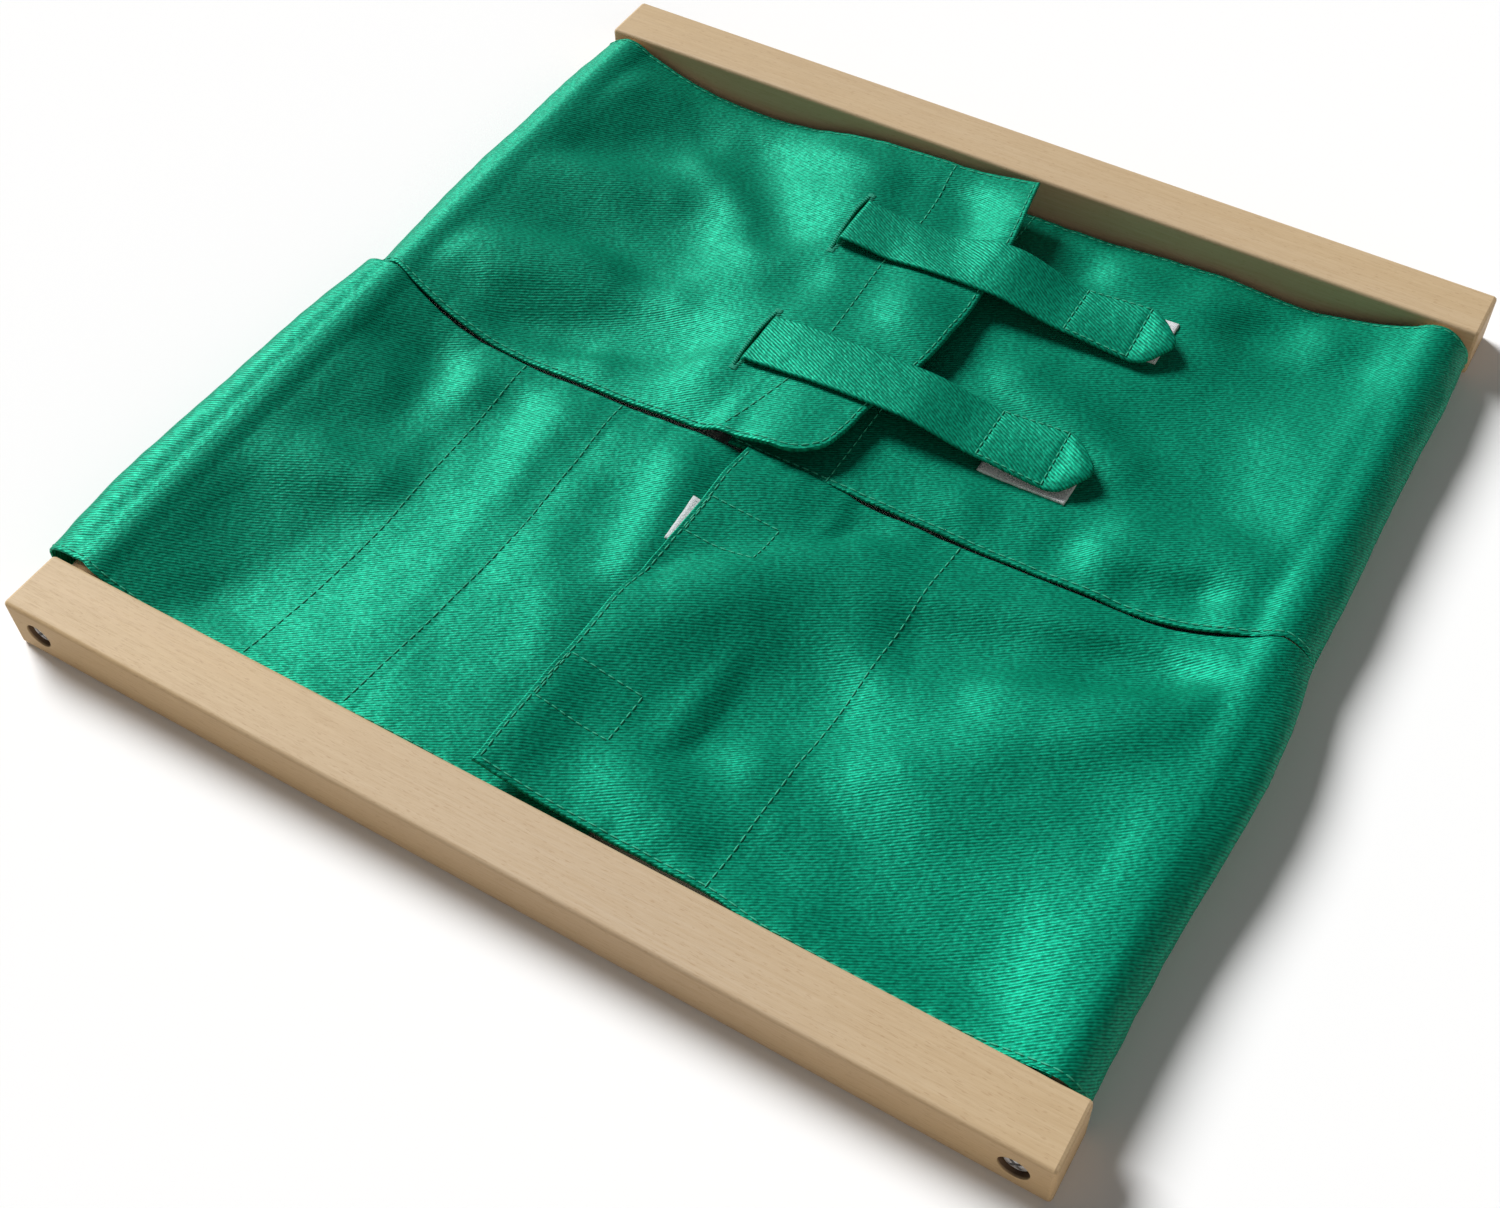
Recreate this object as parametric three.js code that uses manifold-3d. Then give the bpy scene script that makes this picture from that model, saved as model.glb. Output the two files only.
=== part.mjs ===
// A dressing frame for learning to do up clothes: a flat beech frame that carries four cloth panels.
// The upper pair closes with two cloth straps, and the lower pair with hook-and-loop patches.
// Millimetres. X runs along the end rails, Y from the near rail to the far rail, Z up.
// The origin is on the surface that the frame lies on, under its middle.
import * as THREE from "three";
import { mergeVertices } from "three/addons/utils/BufferGeometryUtils.js";
import Module from "manifold-3d";

// The wooden frame
const frameWidth = 305;
const frameDepth = 308;
const railWidth = 19;
const railHeight = 17;
const railEdgeRadius = 1.3;
const railEndEase = 1;
const dowelRadius = 7.5;
const dowelEase = 1;
const seatGap = 0.3;

// The screws, one at each corner, sunk into the end rails' outer faces
const dowelInset = 9.6;
const counterboreRadius = 4;
const counterboreDepth = 5;
const screwGrip = 28;
const screwHeadRadius = 3.6;
const screwHeadHeight = 2.6;
const screwShankRadius = 2;
const screwTipLength = 5;
const recessWidth = 0.9;
const recessSpan = 4.2;
const recessDepth = 1.6;

// The cloth and how it hangs
const clothThickness = 0.8;
const foldedPly = 0.4;
const hemWidth = 5;
const sleeveSlack = 0.1;
const endHemGap = 2.7;
const seamPlace = -4.9;
const seamRailPlace = 1.8;
const seamRiseWidth = 42;
const seamGap = 0.5;
const clothFall = 10;
const edgeSway = 3;
const flapCornerRadius = 14;
const flapCornerInset = 6;

// How far each panel reaches from the frame's middle line to its free edge, to the right when positive
const upperLeftEdge = 15.5;
const upperRightEdge = -20.5;
const lowerLeftEdge = 17.5;
const lowerRightEdge = -15;
const upperLeftFacing = 31.5;
const upperRightFacing = 32;
const lowerLeftFacing = 71;
const lowerRightFacing = 69;

// The straps and the slots that they come through
const strapWidth = 20;
const strapThickness = 1.2;
const strapLength = 108;
const strapPointLength = 10;
const strapRootLength = 20;
const slotPlace = -32;
const slotWidth = 2.4;
const slotLength = 25;
const strapLeaves = 4;
const strapEndLift = 3.6;
const strapTipLift = 1.8;

// The hook-and-loop patches
const patchThickness = 0.8;
const strapHookLength = 20;
const strapHookWidth = 18;
const strapHookSetback = 11;
const strapLoopLength = 27;
const strapLoopWidth = 20;
const strapLoopStart = 46;
const upperLoopOffset = 3;
const lowerLoopOffset = 1.2;
const closurePatchLength = 21;
const closurePatchWidth = 15;
const closureLoopWidth = 17;
const closureHookInset = 3;
const closureLoopInset = -1;
const closureLoopOffset = -2;

// Where the fastenings lie, as shares of their panels from the near hem to the far hem
const upperStrapShare = 0.6875;
const lowerStrapShare = 0.264;
const farClosureShare = 0.773;
const nearClosureShare = 0.25;

// One named overrun serves all cuts
const overrun = 5;

const beech = new THREE.MeshStandardMaterial({ name: "beech", color: 0xcdb28a, roughness: 0.6, metalness: 0 });
const steel = new THREE.MeshStandardMaterial({ name: "steel", color: 0xa9abac, roughness: 0.35, metalness: 1 });
const satin = new THREE.MeshStandardMaterial({ name: "satin", color: 0x0d8c66, roughness: 0.5, metalness: 0 });
const strapCloth = new THREE.MeshStandardMaterial({ name: "strap", color: 0x0b7d5a, roughness: 0.5, metalness: 0 });
const hookTape = new THREE.MeshStandardMaterial({ name: "hook", color: 0xb9bfbd, roughness: 0.9, metalness: 0 });
const loopTape = new THREE.MeshStandardMaterial({ name: "loop", color: 0xdfe5e4, roughness: 1, metalness: 0 });

const wasm = await Module();
wasm.setup();

// A closed three.js geometry as a solid that can be joined and cut.
function solid(geometry) {
  const bare = geometry.clone();
  bare.deleteAttribute("normal");
  bare.deleteAttribute("uv");
  const merged = mergeVertices(bare);
  return new wasm.Manifold(
    new wasm.Mesh({
      numProp: 3,
      vertProperties: new Float32Array(merged.attributes.position.array),
      triVerts: new Uint32Array(merged.index.array),
    }),
  );
}

// A solid back as a three.js geometry.
function geometryOf(made) {
  const mesh = made.getMesh();
  const geometry = new THREE.BufferGeometry();
  geometry.setAttribute("position", new THREE.BufferAttribute(mesh.vertProperties, 3));
  geometry.setIndex(new THREE.BufferAttribute(mesh.triVerts, 1));
  geometry.computeVertexNormals();
  return geometry;
}

const dressingFrame = new THREE.Group();
dressingFrame.name = "dressing_frame";

function place(name, geometry, material) {
  const mesh = new THREE.Mesh(geometry, material);
  mesh.name = name;
  dressingFrame.add(mesh);
  return mesh;
}

// The frame's own lines, which everything else is placed from
const endInnerFace = frameDepth / 2 - railWidth;
const railMiddle = railHeight / 2;
const dowelX = frameWidth / 2 - dowelInset;
const shankHoleRadius = screwShankRadius + seatGap;
const sleeveRadius = dowelRadius + sleeveSlack + clothThickness;

// A rail lies along its own Z, with all its edges eased.
function railGeometry(length, width, height) {
  const x = width / 2 - railEdgeRadius;
  const y = height / 2 - railEdgeRadius;
  const section = new THREE.Shape();
  section.absarc(x, y, railEdgeRadius, 0, Math.PI / 2);
  section.absarc(-x, y, railEdgeRadius, Math.PI / 2, Math.PI);
  section.absarc(-x, -y, railEdgeRadius, Math.PI, 1.5 * Math.PI);
  section.absarc(x, -y, railEdgeRadius, 1.5 * Math.PI, 2 * Math.PI);
  section.closePath();
  const geometry = new THREE.ExtrudeGeometry(section, {
    depth: length - 2 * railEndEase,
    curveSegments: 3,
    bevelThickness: railEndEase,
    bevelSize: railEndEase,
    bevelOffset: -railEndEase,
    bevelSegments: 2,
  });
  return geometry.translate(0, 0, railEndEase - length / 2);
}

// A round cutter along Y between two places.
function drill(radius, x, z, fromY, toY) {
  const bit = new THREE.CylinderGeometry(radius, radius, toY - fromY, 32);
  return solid(bit.translate(x, (fromY + toY) / 2, z));
}

// An end rail along X, drilled from its outer face, which looks along -Y.
function endRail() {
  let rail = solid(railGeometry(frameWidth, railHeight, railWidth).rotateY(Math.PI / 2));
  for (const side of [-1, 1]) {
    const mouth = -railWidth / 2 - overrun;
    const seat = -railWidth / 2 + counterboreDepth;
    rail = rail.subtract(drill(counterboreRadius, side * dowelX, 0, mouth, seat));
    rail = rail.subtract(drill(shankHoleRadius, side * dowelX, 0, mouth, railWidth / 2 + overrun));
  }
  return geometryOf(rail);
}

const nearEndRail = place("near_end_rail", endRail(), beech);
nearEndRail.position.set(0, -(frameDepth - railWidth) / 2, railMiddle);
const farEndRail = place("far_end_rail", endRail(), beech);
farEndRail.rotation.z = Math.PI;
farEndRail.position.set(0, (frameDepth - railWidth) / 2, railMiddle);

// The side rails are round dowels along Y, with a pilot hole for a screw in each end.
const dowelLength = 2 * (endInnerFace - seatGap);
const screwLength = screwGrip + screwHeadHeight + railWidth - counterboreDepth;
const pilotDepth = screwGrip + 2 * seatGap;

function dowelGeometry() {
  const half = dowelLength / 2;
  const eased = dowelRadius - dowelEase;
  const profile = [
    new THREE.Vector2(0, -half),
    new THREE.Vector2(eased, -half),
    new THREE.Vector2(dowelRadius, dowelEase - half),
    new THREE.Vector2(dowelRadius, half - dowelEase),
    new THREE.Vector2(eased, half),
    new THREE.Vector2(0, half),
  ];
  let dowel = solid(new THREE.LatheGeometry(profile, 40));
  for (const end of [-1, 1]) {
    const mouth = end * (half + overrun);
    const bottom = end * (half - pilotDepth);
    dowel = dowel.subtract(drill(shankHoleRadius, 0, 0, Math.min(mouth, bottom), Math.max(mouth, bottom)));
  }
  return geometryOf(dowel);
}

for (const [name, side] of [["left_side_dowel", -1], ["right_side_dowel", 1]]) {
  place(name, dowelGeometry(), beech).position.set(side * dowelX, 0, railMiddle);
}

// A wood screw along +Y: a domed head with a cross recess, a plain shank and a point.
function screwGeometry() {
  const profile = new THREE.Path();
  profile.moveTo(0, screwLength);
  profile.lineTo(screwShankRadius, screwLength - screwTipLength);
  profile.lineTo(screwShankRadius, screwHeadHeight);
  profile.lineTo(screwHeadRadius, screwHeadHeight);
  profile.lineTo(screwHeadRadius, screwHeadHeight / 2);
  profile.quadraticCurveTo(screwHeadRadius, 0, 0, 0);
  const turned = new THREE.LatheGeometry(profile.getPoints(6).reverse(), 32);
  let screw = solid(turned);
  for (const turn of [0, Math.PI / 2]) {
    const slot = new THREE.BoxGeometry(recessSpan, 2 * recessDepth, recessWidth);
    screw = screw.subtract(solid(slot.rotateY(turn + Math.PI / 4)));
  }
  return geometryOf(screw);
}

for (const [end, endName] of [[-1, "near"], [1, "far"]]) {
  for (const [side, sideName] of [[-1, "left"], [1, "right"]]) {
    const screw = place(endName + "_" + sideName + "_screw", screwGeometry(), steel);
    const headTop = frameDepth / 2 - counterboreDepth + screwHeadHeight + seatGap;
    screw.position.set(side * dowelX, end * headTop, railMiddle);
    screw.rotation.z = end > 0 ? Math.PI : 0;
  }
}

// A smooth curve through equally spaced shares, read at t from 0 to 1.
function alongShares(shares, t) {
  const last = shares.length - 1;
  const s = THREE.MathUtils.clamp(t, 0, 1) * last;
  const i = Math.min(Math.floor(s), last - 1);
  const f = s - i;
  const b = shares[i];
  const c = shares[i + 1];
  const a = i > 0 ? shares[i - 1] : 2 * b - c;
  const d = i + 2 <= last ? shares[i + 2] : 2 * c - b;
  return b + (f / 2) * (c - a + f * (2 * a - 5 * b + 4 * c - d + f * (3 * (b - c) + d - a)));
}

// A sleeve is the cloth tube round a dowel. Its outer side hangs loose: the slack shares give, from the crest
// over the outer side to the foot, how far the loosest cloth stands from the dowel's middle, and the loose shares
// give, from the sleeve's near end to its far end, how loose it is.
const slackShares = [1, 1.14, 1.62, 2.02, 1.8, 1.55, 1.32, 1.08, 1];

function sleeveGeometry(side, fromY, toY, looseShares) {
  const ring = new THREE.Shape();
  ring.absarc(0, 0, sleeveRadius, 0, 2 * Math.PI);
  const bore = new THREE.Path();
  bore.absarc(0, 0, sleeveRadius - clothThickness, 0, 2 * Math.PI);
  ring.holes.push(bore);
  const length = toY - fromY;
  const run = { depth: length, steps: 5, curveSegments: 12, bevelEnabled: false };
  const tube = new THREE.ExtrudeGeometry(ring, run);
  tube.rotateX(Math.PI / 2).translate(0, length, 0);
  const spots = tube.attributes.position;
  for (let i = 0; i < spots.count; i++) {
    const x = spots.getX(i);
    const z = spots.getZ(i);
    const fromCrest = Math.atan2(Math.max(0, side * x), z) / Math.PI;
    const loose = alongShares(looseShares, spots.getY(i) / length);
    const extra = loose * (alongShares(slackShares, fromCrest) - 1) * sleeveRadius;
    const stretch = 1 + (side * x > 0 ? extra / Math.hypot(x, z) : 0);
    spots.setX(i, x * stretch);
    spots.setZ(i, z * stretch);
  }
  return tube.translate(side * dowelX, fromY, railMiddle);
}

const farHemY = endInnerFace - endHemGap;
const upperSleeveY = seamRailPlace + seamGap / 2;
const lowerSleeveY = seamRailPlace - seamGap / 2;
const sleeves = [
  ["upper_left_sleeve", -1, upperSleeveY, farHemY, [0.15, 0.3, 0.4, 0.35, 0.35, 0.2]],
  ["upper_right_sleeve", 1, upperSleeveY, farHemY, [0.1, 0.18, 0.12, 0.1, 0.18, 0.1]],
  ["lower_left_sleeve", -1, -farHemY, lowerSleeveY, [0.78, 1, 0.95, 0.88, 0.8, 0.56]],
  ["lower_right_sleeve", 1, -farHemY, lowerSleeveY, [0, 0.04, 0.18, 0.46, 0.5, 0.15]],
];
for (const [name, side, fromY, toY, looseShares] of sleeves) {
  place(name, sleeveGeometry(side, fromY, toY, looseShares), satin);
}

// Each panel bends along the crest of its sleeve, at the middle of the cloth's thickness, and lies on the
// sleeve's inner quarter before it hangs free.
const bendX = dowelX;
const bendRadius = sleeveRadius + seatGap + clothThickness / 2;
const bendZ = railMiddle + bendRadius;

// A panel hangs from its bend line. Its fall shares are rows from its near hem to its far hem, each read from
// the bend line to the free edge, as shares of clothFall. Each fold is a ridge, or a hollow where its rise is
// negative: start and end as shares of the panel, then its half width and its rise, as shares of the reach and
// of clothFall. Its edge shares run along the free edge, which sways a little to either side.
function makePanel({ side, edge, nearY, farY, seamY, facing, fallShares, foldShares, edgeShares }) {
  const reach = bendX - side * edge;
  const depth = farY - nearY;
  const acrossAt = (x) => (bendX - side * x) / reach;
  const alongAt = (y) => (y - nearY) / depth;
  const sway = (x, y) => edgeSway * alongShares(edgeShares, alongAt(y)) * acrossAt(x) ** 3;
  function seamRise(x, y) {
    const nearRail = Math.max(0, 1 - (bendX - side * x) / seamRiseWidth);
    const nearSeam = 1 - Math.abs(y - seamY) / depth;
    return (seamRailPlace - seamPlace) * nearRail ** 2 * nearSeam;
  }
  function fold(across, along, [fromAcross, fromAlong, toAcross, toAlong, widthShare, riseShare]) {
    const run = new THREE.Vector2((toAcross - fromAcross) * reach, (toAlong - fromAlong) * depth);
    const spot = new THREE.Vector2((across - fromAcross) * reach, (along - fromAlong) * depth);
    const share = THREE.MathUtils.clamp(spot.dot(run) / run.lengthSq(), 0, 1);
    const away = spot.addScaledVector(run, -share).length() / (widthShare * reach);
    return riseShare * clothFall * Math.exp(-away * away);
  }
  function height(x, y) {
    const across = acrossAt(x);
    const along = alongAt(y);
    const rows = fallShares.map((row) => alongShares(row, across));
    let z = bendZ - clothFall * alongShares(rows, along);
    const held = THREE.MathUtils.smoothstep(across, 0.05, 0.15);
    for (const share of foldShares) z += held * fold(across, along, share);
    const overSleeve = bendRadius ** 2 - (bendX - side * x) ** 2;
    return overSleeve > 0 ? Math.max(z, railMiddle + Math.sqrt(overSleeve)) : z;
  }
  // The hems and the facing are turned under, so they thicken the cloth on its lower side.
  function under(x, y) {
    const fromEdge = Math.abs(edge + sway(x, y) - x);
    const fromHem = Math.min(farY + seamRise(x, farY) - y, y - nearY - seamRise(x, nearY));
    const overRail = side * x > bendX - 1.01 * bendRadius;
    const inHem = !overRail && Math.min(fromEdge, fromHem) < hemWidth;
    const plies = (inHem ? 1 : 0) + (fromEdge < facing ? 1 : 0);
    return height(x, y) - clothThickness / 2 - plies * foldedPly;
  }
  const over = (x, y) => height(x, y) + clothThickness / 2;
  const warp = (x, y) => [x + sway(x, y), y + seamRise(x, y)];
  return { side, edge, nearY, farY, facing, height, over, under, warp };
}

const upperNearY = seamPlace + seamGap / 2;
const lowerFarY = seamPlace - seamGap / 2;

const upperLeft = makePanel({
  side: -1,
  edge: upperLeftEdge,
  nearY: upperNearY,
  farY: farHemY,
  seamY: upperNearY,
  facing: upperLeftFacing,
  edgeShares: [-2.2, -1.43, 0.45, 0.77, 0.35, -1.2],
  fallShares: [
    [0, 0.6, 1.03, 1.11, 0.96, 0.8, 0.17, 0.06],
    [0, 0.51, 0.74, 0.82, 0.6, 0.37, 0.26, 0.21],
    [0, 0.51, 0.7, 0.81, 0.6, 0.37, 0.26, 0.21],
    [0, 0.86, 1.17, 1.09, 0.72, 0.49, 0.36, -0.04],
  ],
  foldShares: [
    [0.127, 0.86, 0.288, 0.9, 0.07, -0.15],
    [0.127, 0.62, 0.345, 0.77, 0.06, 0.2],
    [0.26, 0.56, 0.507, 0.66, 0.07, -0.18],
    [0.193, 0.31, 0.592, 0.38, 0.08, 0.18],
    [0.241, 0.19, 0.364, 0.2, 0.08, -0.18],
  ],
});

const upperRight = makePanel({
  side: 1,
  edge: upperRightEdge,
  nearY: upperNearY,
  farY: farHemY,
  seamY: upperNearY,
  facing: upperRightFacing,
  edgeShares: [0, 0],
  fallShares: [
    [0, 0.68, 0.84, 0.86, 0.91, 0.85, 0.82, 0.82],
    [0, 0.51, 0.73, 0.84, 0.9, 0.88, 0.87, 0.87],
    [0, 0.51, 0.72, 0.84, 0.9, 0.92, 0.92, 0.92],
    [0, 0.94, 1.15, 1.08, 1.26, 1.35, 1.36, 1.36],
  ],
  foldShares: [
    [0.192, 0.12, 0.24, 0.16, 0.05, -0.12],
    [0.363, 0.06, 0.392, 0.22, 0.05, 0.12],
    [0.097, 0.75, 0.335, 0.5, 0.1, 0.12],
  ],
});

const lowerLeft = makePanel({
  side: -1,
  edge: lowerLeftEdge,
  nearY: -farHemY,
  farY: lowerFarY,
  seamY: lowerFarY,
  facing: lowerLeftFacing,
  edgeShares: [0, 0],
  fallShares: [
    [0, 0.58, 0.66, 0.57, 0.56, 0.6, 0.74, 0.82],
    [0, 0.76, 0.81, 0.73, 0.66, 0.7, 0.95, 0.98],
    [0, 0.81, 0.82, 0.73, 0.66, 0.7, 1, 1.1],
    [0, 0.78, 1.16, 1.23, 1.11, 0.96, 1.06, 1.25],
  ],
  foldShares: [
    [0.126, 0.2, 0.202, 0.3, 0.05, -0.12],
    [0.145, 0.62, 0.335, 0.5, 0.06, -0.12],
    [0.145, 0.4, 0.288, 0.36, 0.06, 0.12],
  ],
});

const lowerRight = makePanel({
  side: 1,
  edge: lowerRightEdge,
  nearY: -farHemY,
  farY: lowerFarY,
  seamY: lowerFarY,
  facing: lowerRightFacing,
  edgeShares: [-0.2, 0.5],
  fallShares: [
    [0, 0.1, 0.15, 0.24, 0.39, 0.55, 0.42, 0.01],
    [0, 0.2, 0.41, 0.58, 0.7, 0.67, 0.47, 0.36],
    [0, 0.23, 0.51, 0.73, 0.81, 0.72, 0.57, 0.46],
    [0, 0.76, 0.94, 0.99, 1.02, 0.96, 0.77, 0.66],
  ],
  foldShares: [
    [0.146, 0.86, 0.573, 0.58, 0.09, 0.2],
    [0.194, 0.6, 0.478, 0.42, 0.07, -0.1],
    [0.64, 0.62, 0.763, 0.52, 0.08, -0.08],
  ],
});

// A thin solid over a grid of places, between an upper and a lower surface.
function sheetSolid(xs, ys, over, under, warp = (x, y) => [x, y]) {
  const grid = new THREE.BoxGeometry(1, 1, 1, xs.length - 1, ys.length - 1, 1);
  const spots = grid.attributes.position;
  for (let i = 0; i < spots.count; i++) {
    const column = xs[Math.round((spots.getX(i) + 0.5) * (xs.length - 1))];
    const row = ys[Math.round((spots.getY(i) + 0.5) * (ys.length - 1))];
    const [x, y] = warp(column, row);
    const z = spots.getZ(i) > 0 ? over(x, y) : under(x, y);
    spots.setXYZ(i, x, y, z);
  }
  return solid(grid);
}

// Equal steps from one place to another, both ends included.
function steps(from, to, count) {
  return Array.from({ length: count + 1 }, (_, i) => from + ((to - from) * i) / count);
}

// Places for a panel's grid, with a close pair where a fold of the cloth ends and the thickness steps.
function withStep(places, at) {
  return [...places, at - foldedPly, at + foldedPly];
}

// A prism that keeps only what stands over its outline.
function standingPrism(outline) {
  const tall = railHeight * 3;
  const prism = new THREE.ExtrudeGeometry(outline, { depth: tall, curveSegments: 10, bevelEnabled: false });
  return solid(prism.translate(0, 0, -railHeight));
}

function panelSolid({ side, edge, nearY, farY, facing, over, under, warp }) {
  const offSleeve = side * (bendX - bendRadius);
  let xs = steps(side * bendX, offSleeve, 4).slice(0, -1);
  xs = [...xs, ...steps(offSleeve, edge + side * hemWidth, 14).slice(0, -1)];
  xs = withStep(xs, edge + side * facing);
  xs = withStep(xs, edge + side * hemWidth);
  xs = [...xs, edge].sort((a, b) => a - b);
  let ys = steps(nearY + hemWidth, farY - hemWidth, 12).slice(1, -1);
  ys = withStep(ys, nearY + hemWidth);
  ys = withStep(ys, farY - hemWidth);
  ys = [...ys, nearY, farY].sort((a, b) => a - b);
  return sheetSolid(xs, ys, over, under, warp);
}

// What the upper left flap's near corner loses where it is rounded.
function cornerWaste() {
  const x = upperLeftEdge - flapCornerInset - flapCornerRadius;
  const y = upperNearY + flapCornerRadius;
  const outline = new THREE.Shape();
  outline.moveTo(upperLeftEdge + overrun, upperNearY - overrun);
  outline.lineTo(upperLeftEdge + overrun, y);
  outline.absarc(x, y, flapCornerRadius, 0, -Math.PI / 2, true);
  outline.lineTo(x, upperNearY - overrun);
  outline.closePath();
  return standingPrism(outline);
}

// The strap's own surface: it lies along the flap, leaves its edge and comes down to its patch, and its
// pointed end stands up a little.
const strapEndX = slotPlace + strapLength;
const strapSeatX = strapEndX - strapHookSetback - strapHookLength;

function strapHeight(middleY) {
  const raised = seatGap + (clothThickness + strapThickness) / 2;
  const acrossStrap = steps(middleY - strapWidth / 2, middleY + strapWidth / 2, 8);
  const slotHeights = acrossStrap.map((y) => upperLeft.height(slotPlace, y));
  const rootZ = Math.max(...slotHeights) + raised;
  const height = (x, y) => {
    const onFlap = upperLeft.height(Math.min(x, upperLeftEdge), y) + raised;
    const excess = rootZ - upperLeft.height(slotPlace, y) - raised;
    const settled = THREE.MathUtils.smoothstep(x, slotPlace, slotPlace + strapWidth);
    const lifted = onFlap + excess * (1 - settled);
    const onPatch = upperRight.height(strapSeatX + strapHookLength / 2, middleY) + strapEndLift + raised;
    const drop = THREE.MathUtils.smoothstep(x, upperLeftEdge + strapLeaves, strapSeatX);
    const tip = strapTipLift * THREE.MathUtils.smoothstep(x, strapSeatX + strapHookLength, strapEndX);
    return THREE.MathUtils.lerp(lifted, onPatch, drop) + tip;
  };
  return { rootZ, height };
}

function strapSolid(middleY, height) {
  const xs = steps(slotPlace, strapEndX, 24);
  const ys = steps(middleY - strapWidth / 2, middleY + strapWidth / 2, 4);
  const over = (x, y) => height(x, y) + strapThickness / 2;
  const under = (x, y) => height(x, y) - strapThickness / 2;
  const outline = new THREE.Shape();
  outline.moveTo(slotPlace - overrun, middleY - strapWidth / 2);
  outline.lineTo(strapEndX - strapPointLength, middleY - strapWidth / 2);
  outline.lineTo(strapEndX, middleY);
  outline.lineTo(strapEndX - strapPointLength, middleY + strapWidth / 2);
  outline.lineTo(slotPlace - overrun, middleY + strapWidth / 2);
  outline.closePath();
  return sheetSolid(xs, ys, over, under).intersect(standingPrism(outline));
}

// A flat patch sewn onto a surface, on its upper side when upward is 1 and on its lower side when it is -1.
function patchSolid(fromX, toX, middleY, width, surface, upward) {
  const xs = steps(Math.min(fromX, toX), Math.max(fromX, toX), 6);
  const ys = steps(middleY - width / 2, middleY + width / 2, 5);
  const close = (x, y) => surface(x, y) + upward * seatGap;
  const open = (x, y) => surface(x, y) + upward * (seatGap + patchThickness);
  return upward > 0 ? sheetSolid(xs, ys, open, close) : sheetSolid(xs, ys, close, open);
}

// The strap's sewn end lies under the flap and turns up through the slot.
function strapRootSolid(middleY, rootZ) {
  const top = (x, y) => upperLeft.under(x, y) - seatGap;
  const bottom = (x, y) => top(x, y) - strapThickness;
  const ys = steps(middleY - strapWidth / 2, middleY + strapWidth / 2, 4);
  const lipFrom = slotPlace - strapThickness / 2;
  const sewn = sheetSolid(steps(slotPlace - strapRootLength, slotPlace, 6), ys, top, bottom);
  const lipTop = rootZ - strapThickness / 2 - seatGap;
  const lip = sheetSolid([lipFrom, slotPlace + strapThickness / 2], ys, () => lipTop, bottom);
  return sewn.add(lip);
}

let flapSolid = panelSolid(upperLeft).subtract(cornerWaste());
const strapPlaces = [
  ["upper", upperStrapShare, upperLoopOffset],
  ["lower", lowerStrapShare, lowerLoopOffset],
];
for (const [name, share, loopOffset] of strapPlaces) {
  const middleY = THREE.MathUtils.lerp(upperNearY, farHemY, share);
  const slot = new THREE.BoxGeometry(slotWidth, slotLength, railHeight * 2);
  flapSolid = flapSolid.subtract(solid(slot.translate(slotPlace, middleY, railHeight)));
  const { rootZ, height } = strapHeight(middleY);
  const strapUnder = (x, y) => height(x, y) - strapThickness / 2;
  const hookEnd = strapEndX - strapHookSetback;
  const loopEnd = strapLoopStart + strapLoopLength;
  const loopY = middleY + loopOffset;
  const hook = patchSolid(hookEnd - strapHookLength, hookEnd, middleY, strapHookWidth, strapUnder, -1);
  const loop = patchSolid(strapLoopStart, loopEnd, loopY, strapLoopWidth, upperRight.over, 1);
  place(name + "_strap", geometryOf(strapSolid(middleY, height)), strapCloth);
  place(name + "_strap_root", geometryOf(strapRootSolid(middleY, rootZ)), strapCloth);
  place(name + "_strap_hook_patch", geometryOf(hook), hookTape);
  place(name + "_strap_loop_patch", geometryOf(loop), loopTape);
}
place("upper_left_flap", geometryOf(flapSolid), satin);
place("upper_right_panel", geometryOf(panelSolid(upperRight)), satin);
place("lower_left_panel", geometryOf(panelSolid(lowerLeft)), satin);
place("lower_right_flap", geometryOf(panelSolid(lowerRight)), satin);

// The lower flap's patches lie near its free edge, each over its partner on the panel below.
for (const [name, share] of [["far", farClosureShare], ["near", nearClosureShare]]) {
  const middleY = THREE.MathUtils.lerp(-farHemY, lowerFarY, share);
  const hookFrom = lowerRightEdge + closureHookInset;
  const loopFrom = lowerRightEdge + closureLoopInset;
  const hookTo = hookFrom + closurePatchLength;
  const loopTo = loopFrom + closurePatchLength;
  const hook = patchSolid(hookFrom, hookTo, middleY, closurePatchWidth, lowerRight.under, -1);
  const loopY = middleY + closureLoopOffset;
  const loop = patchSolid(loopFrom, loopTo, loopY, closureLoopWidth, lowerLeft.over, 1);
  place(name + "_closure_hook_patch", geometryOf(hook), hookTape);
  place(name + "_closure_loop_patch", geometryOf(loop), loopTape);
}

export default dressingFrame;
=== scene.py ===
# A dressing frame: a flat beech frame with four satin panels that close with straps and hook-and-loop patches.
# Metres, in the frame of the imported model: X along the end rails, Y from the near rail to the far one, Z up.
import math

import bmesh
import bpy
import numpy as np
from mathutils import Matrix, Vector, noise


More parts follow.
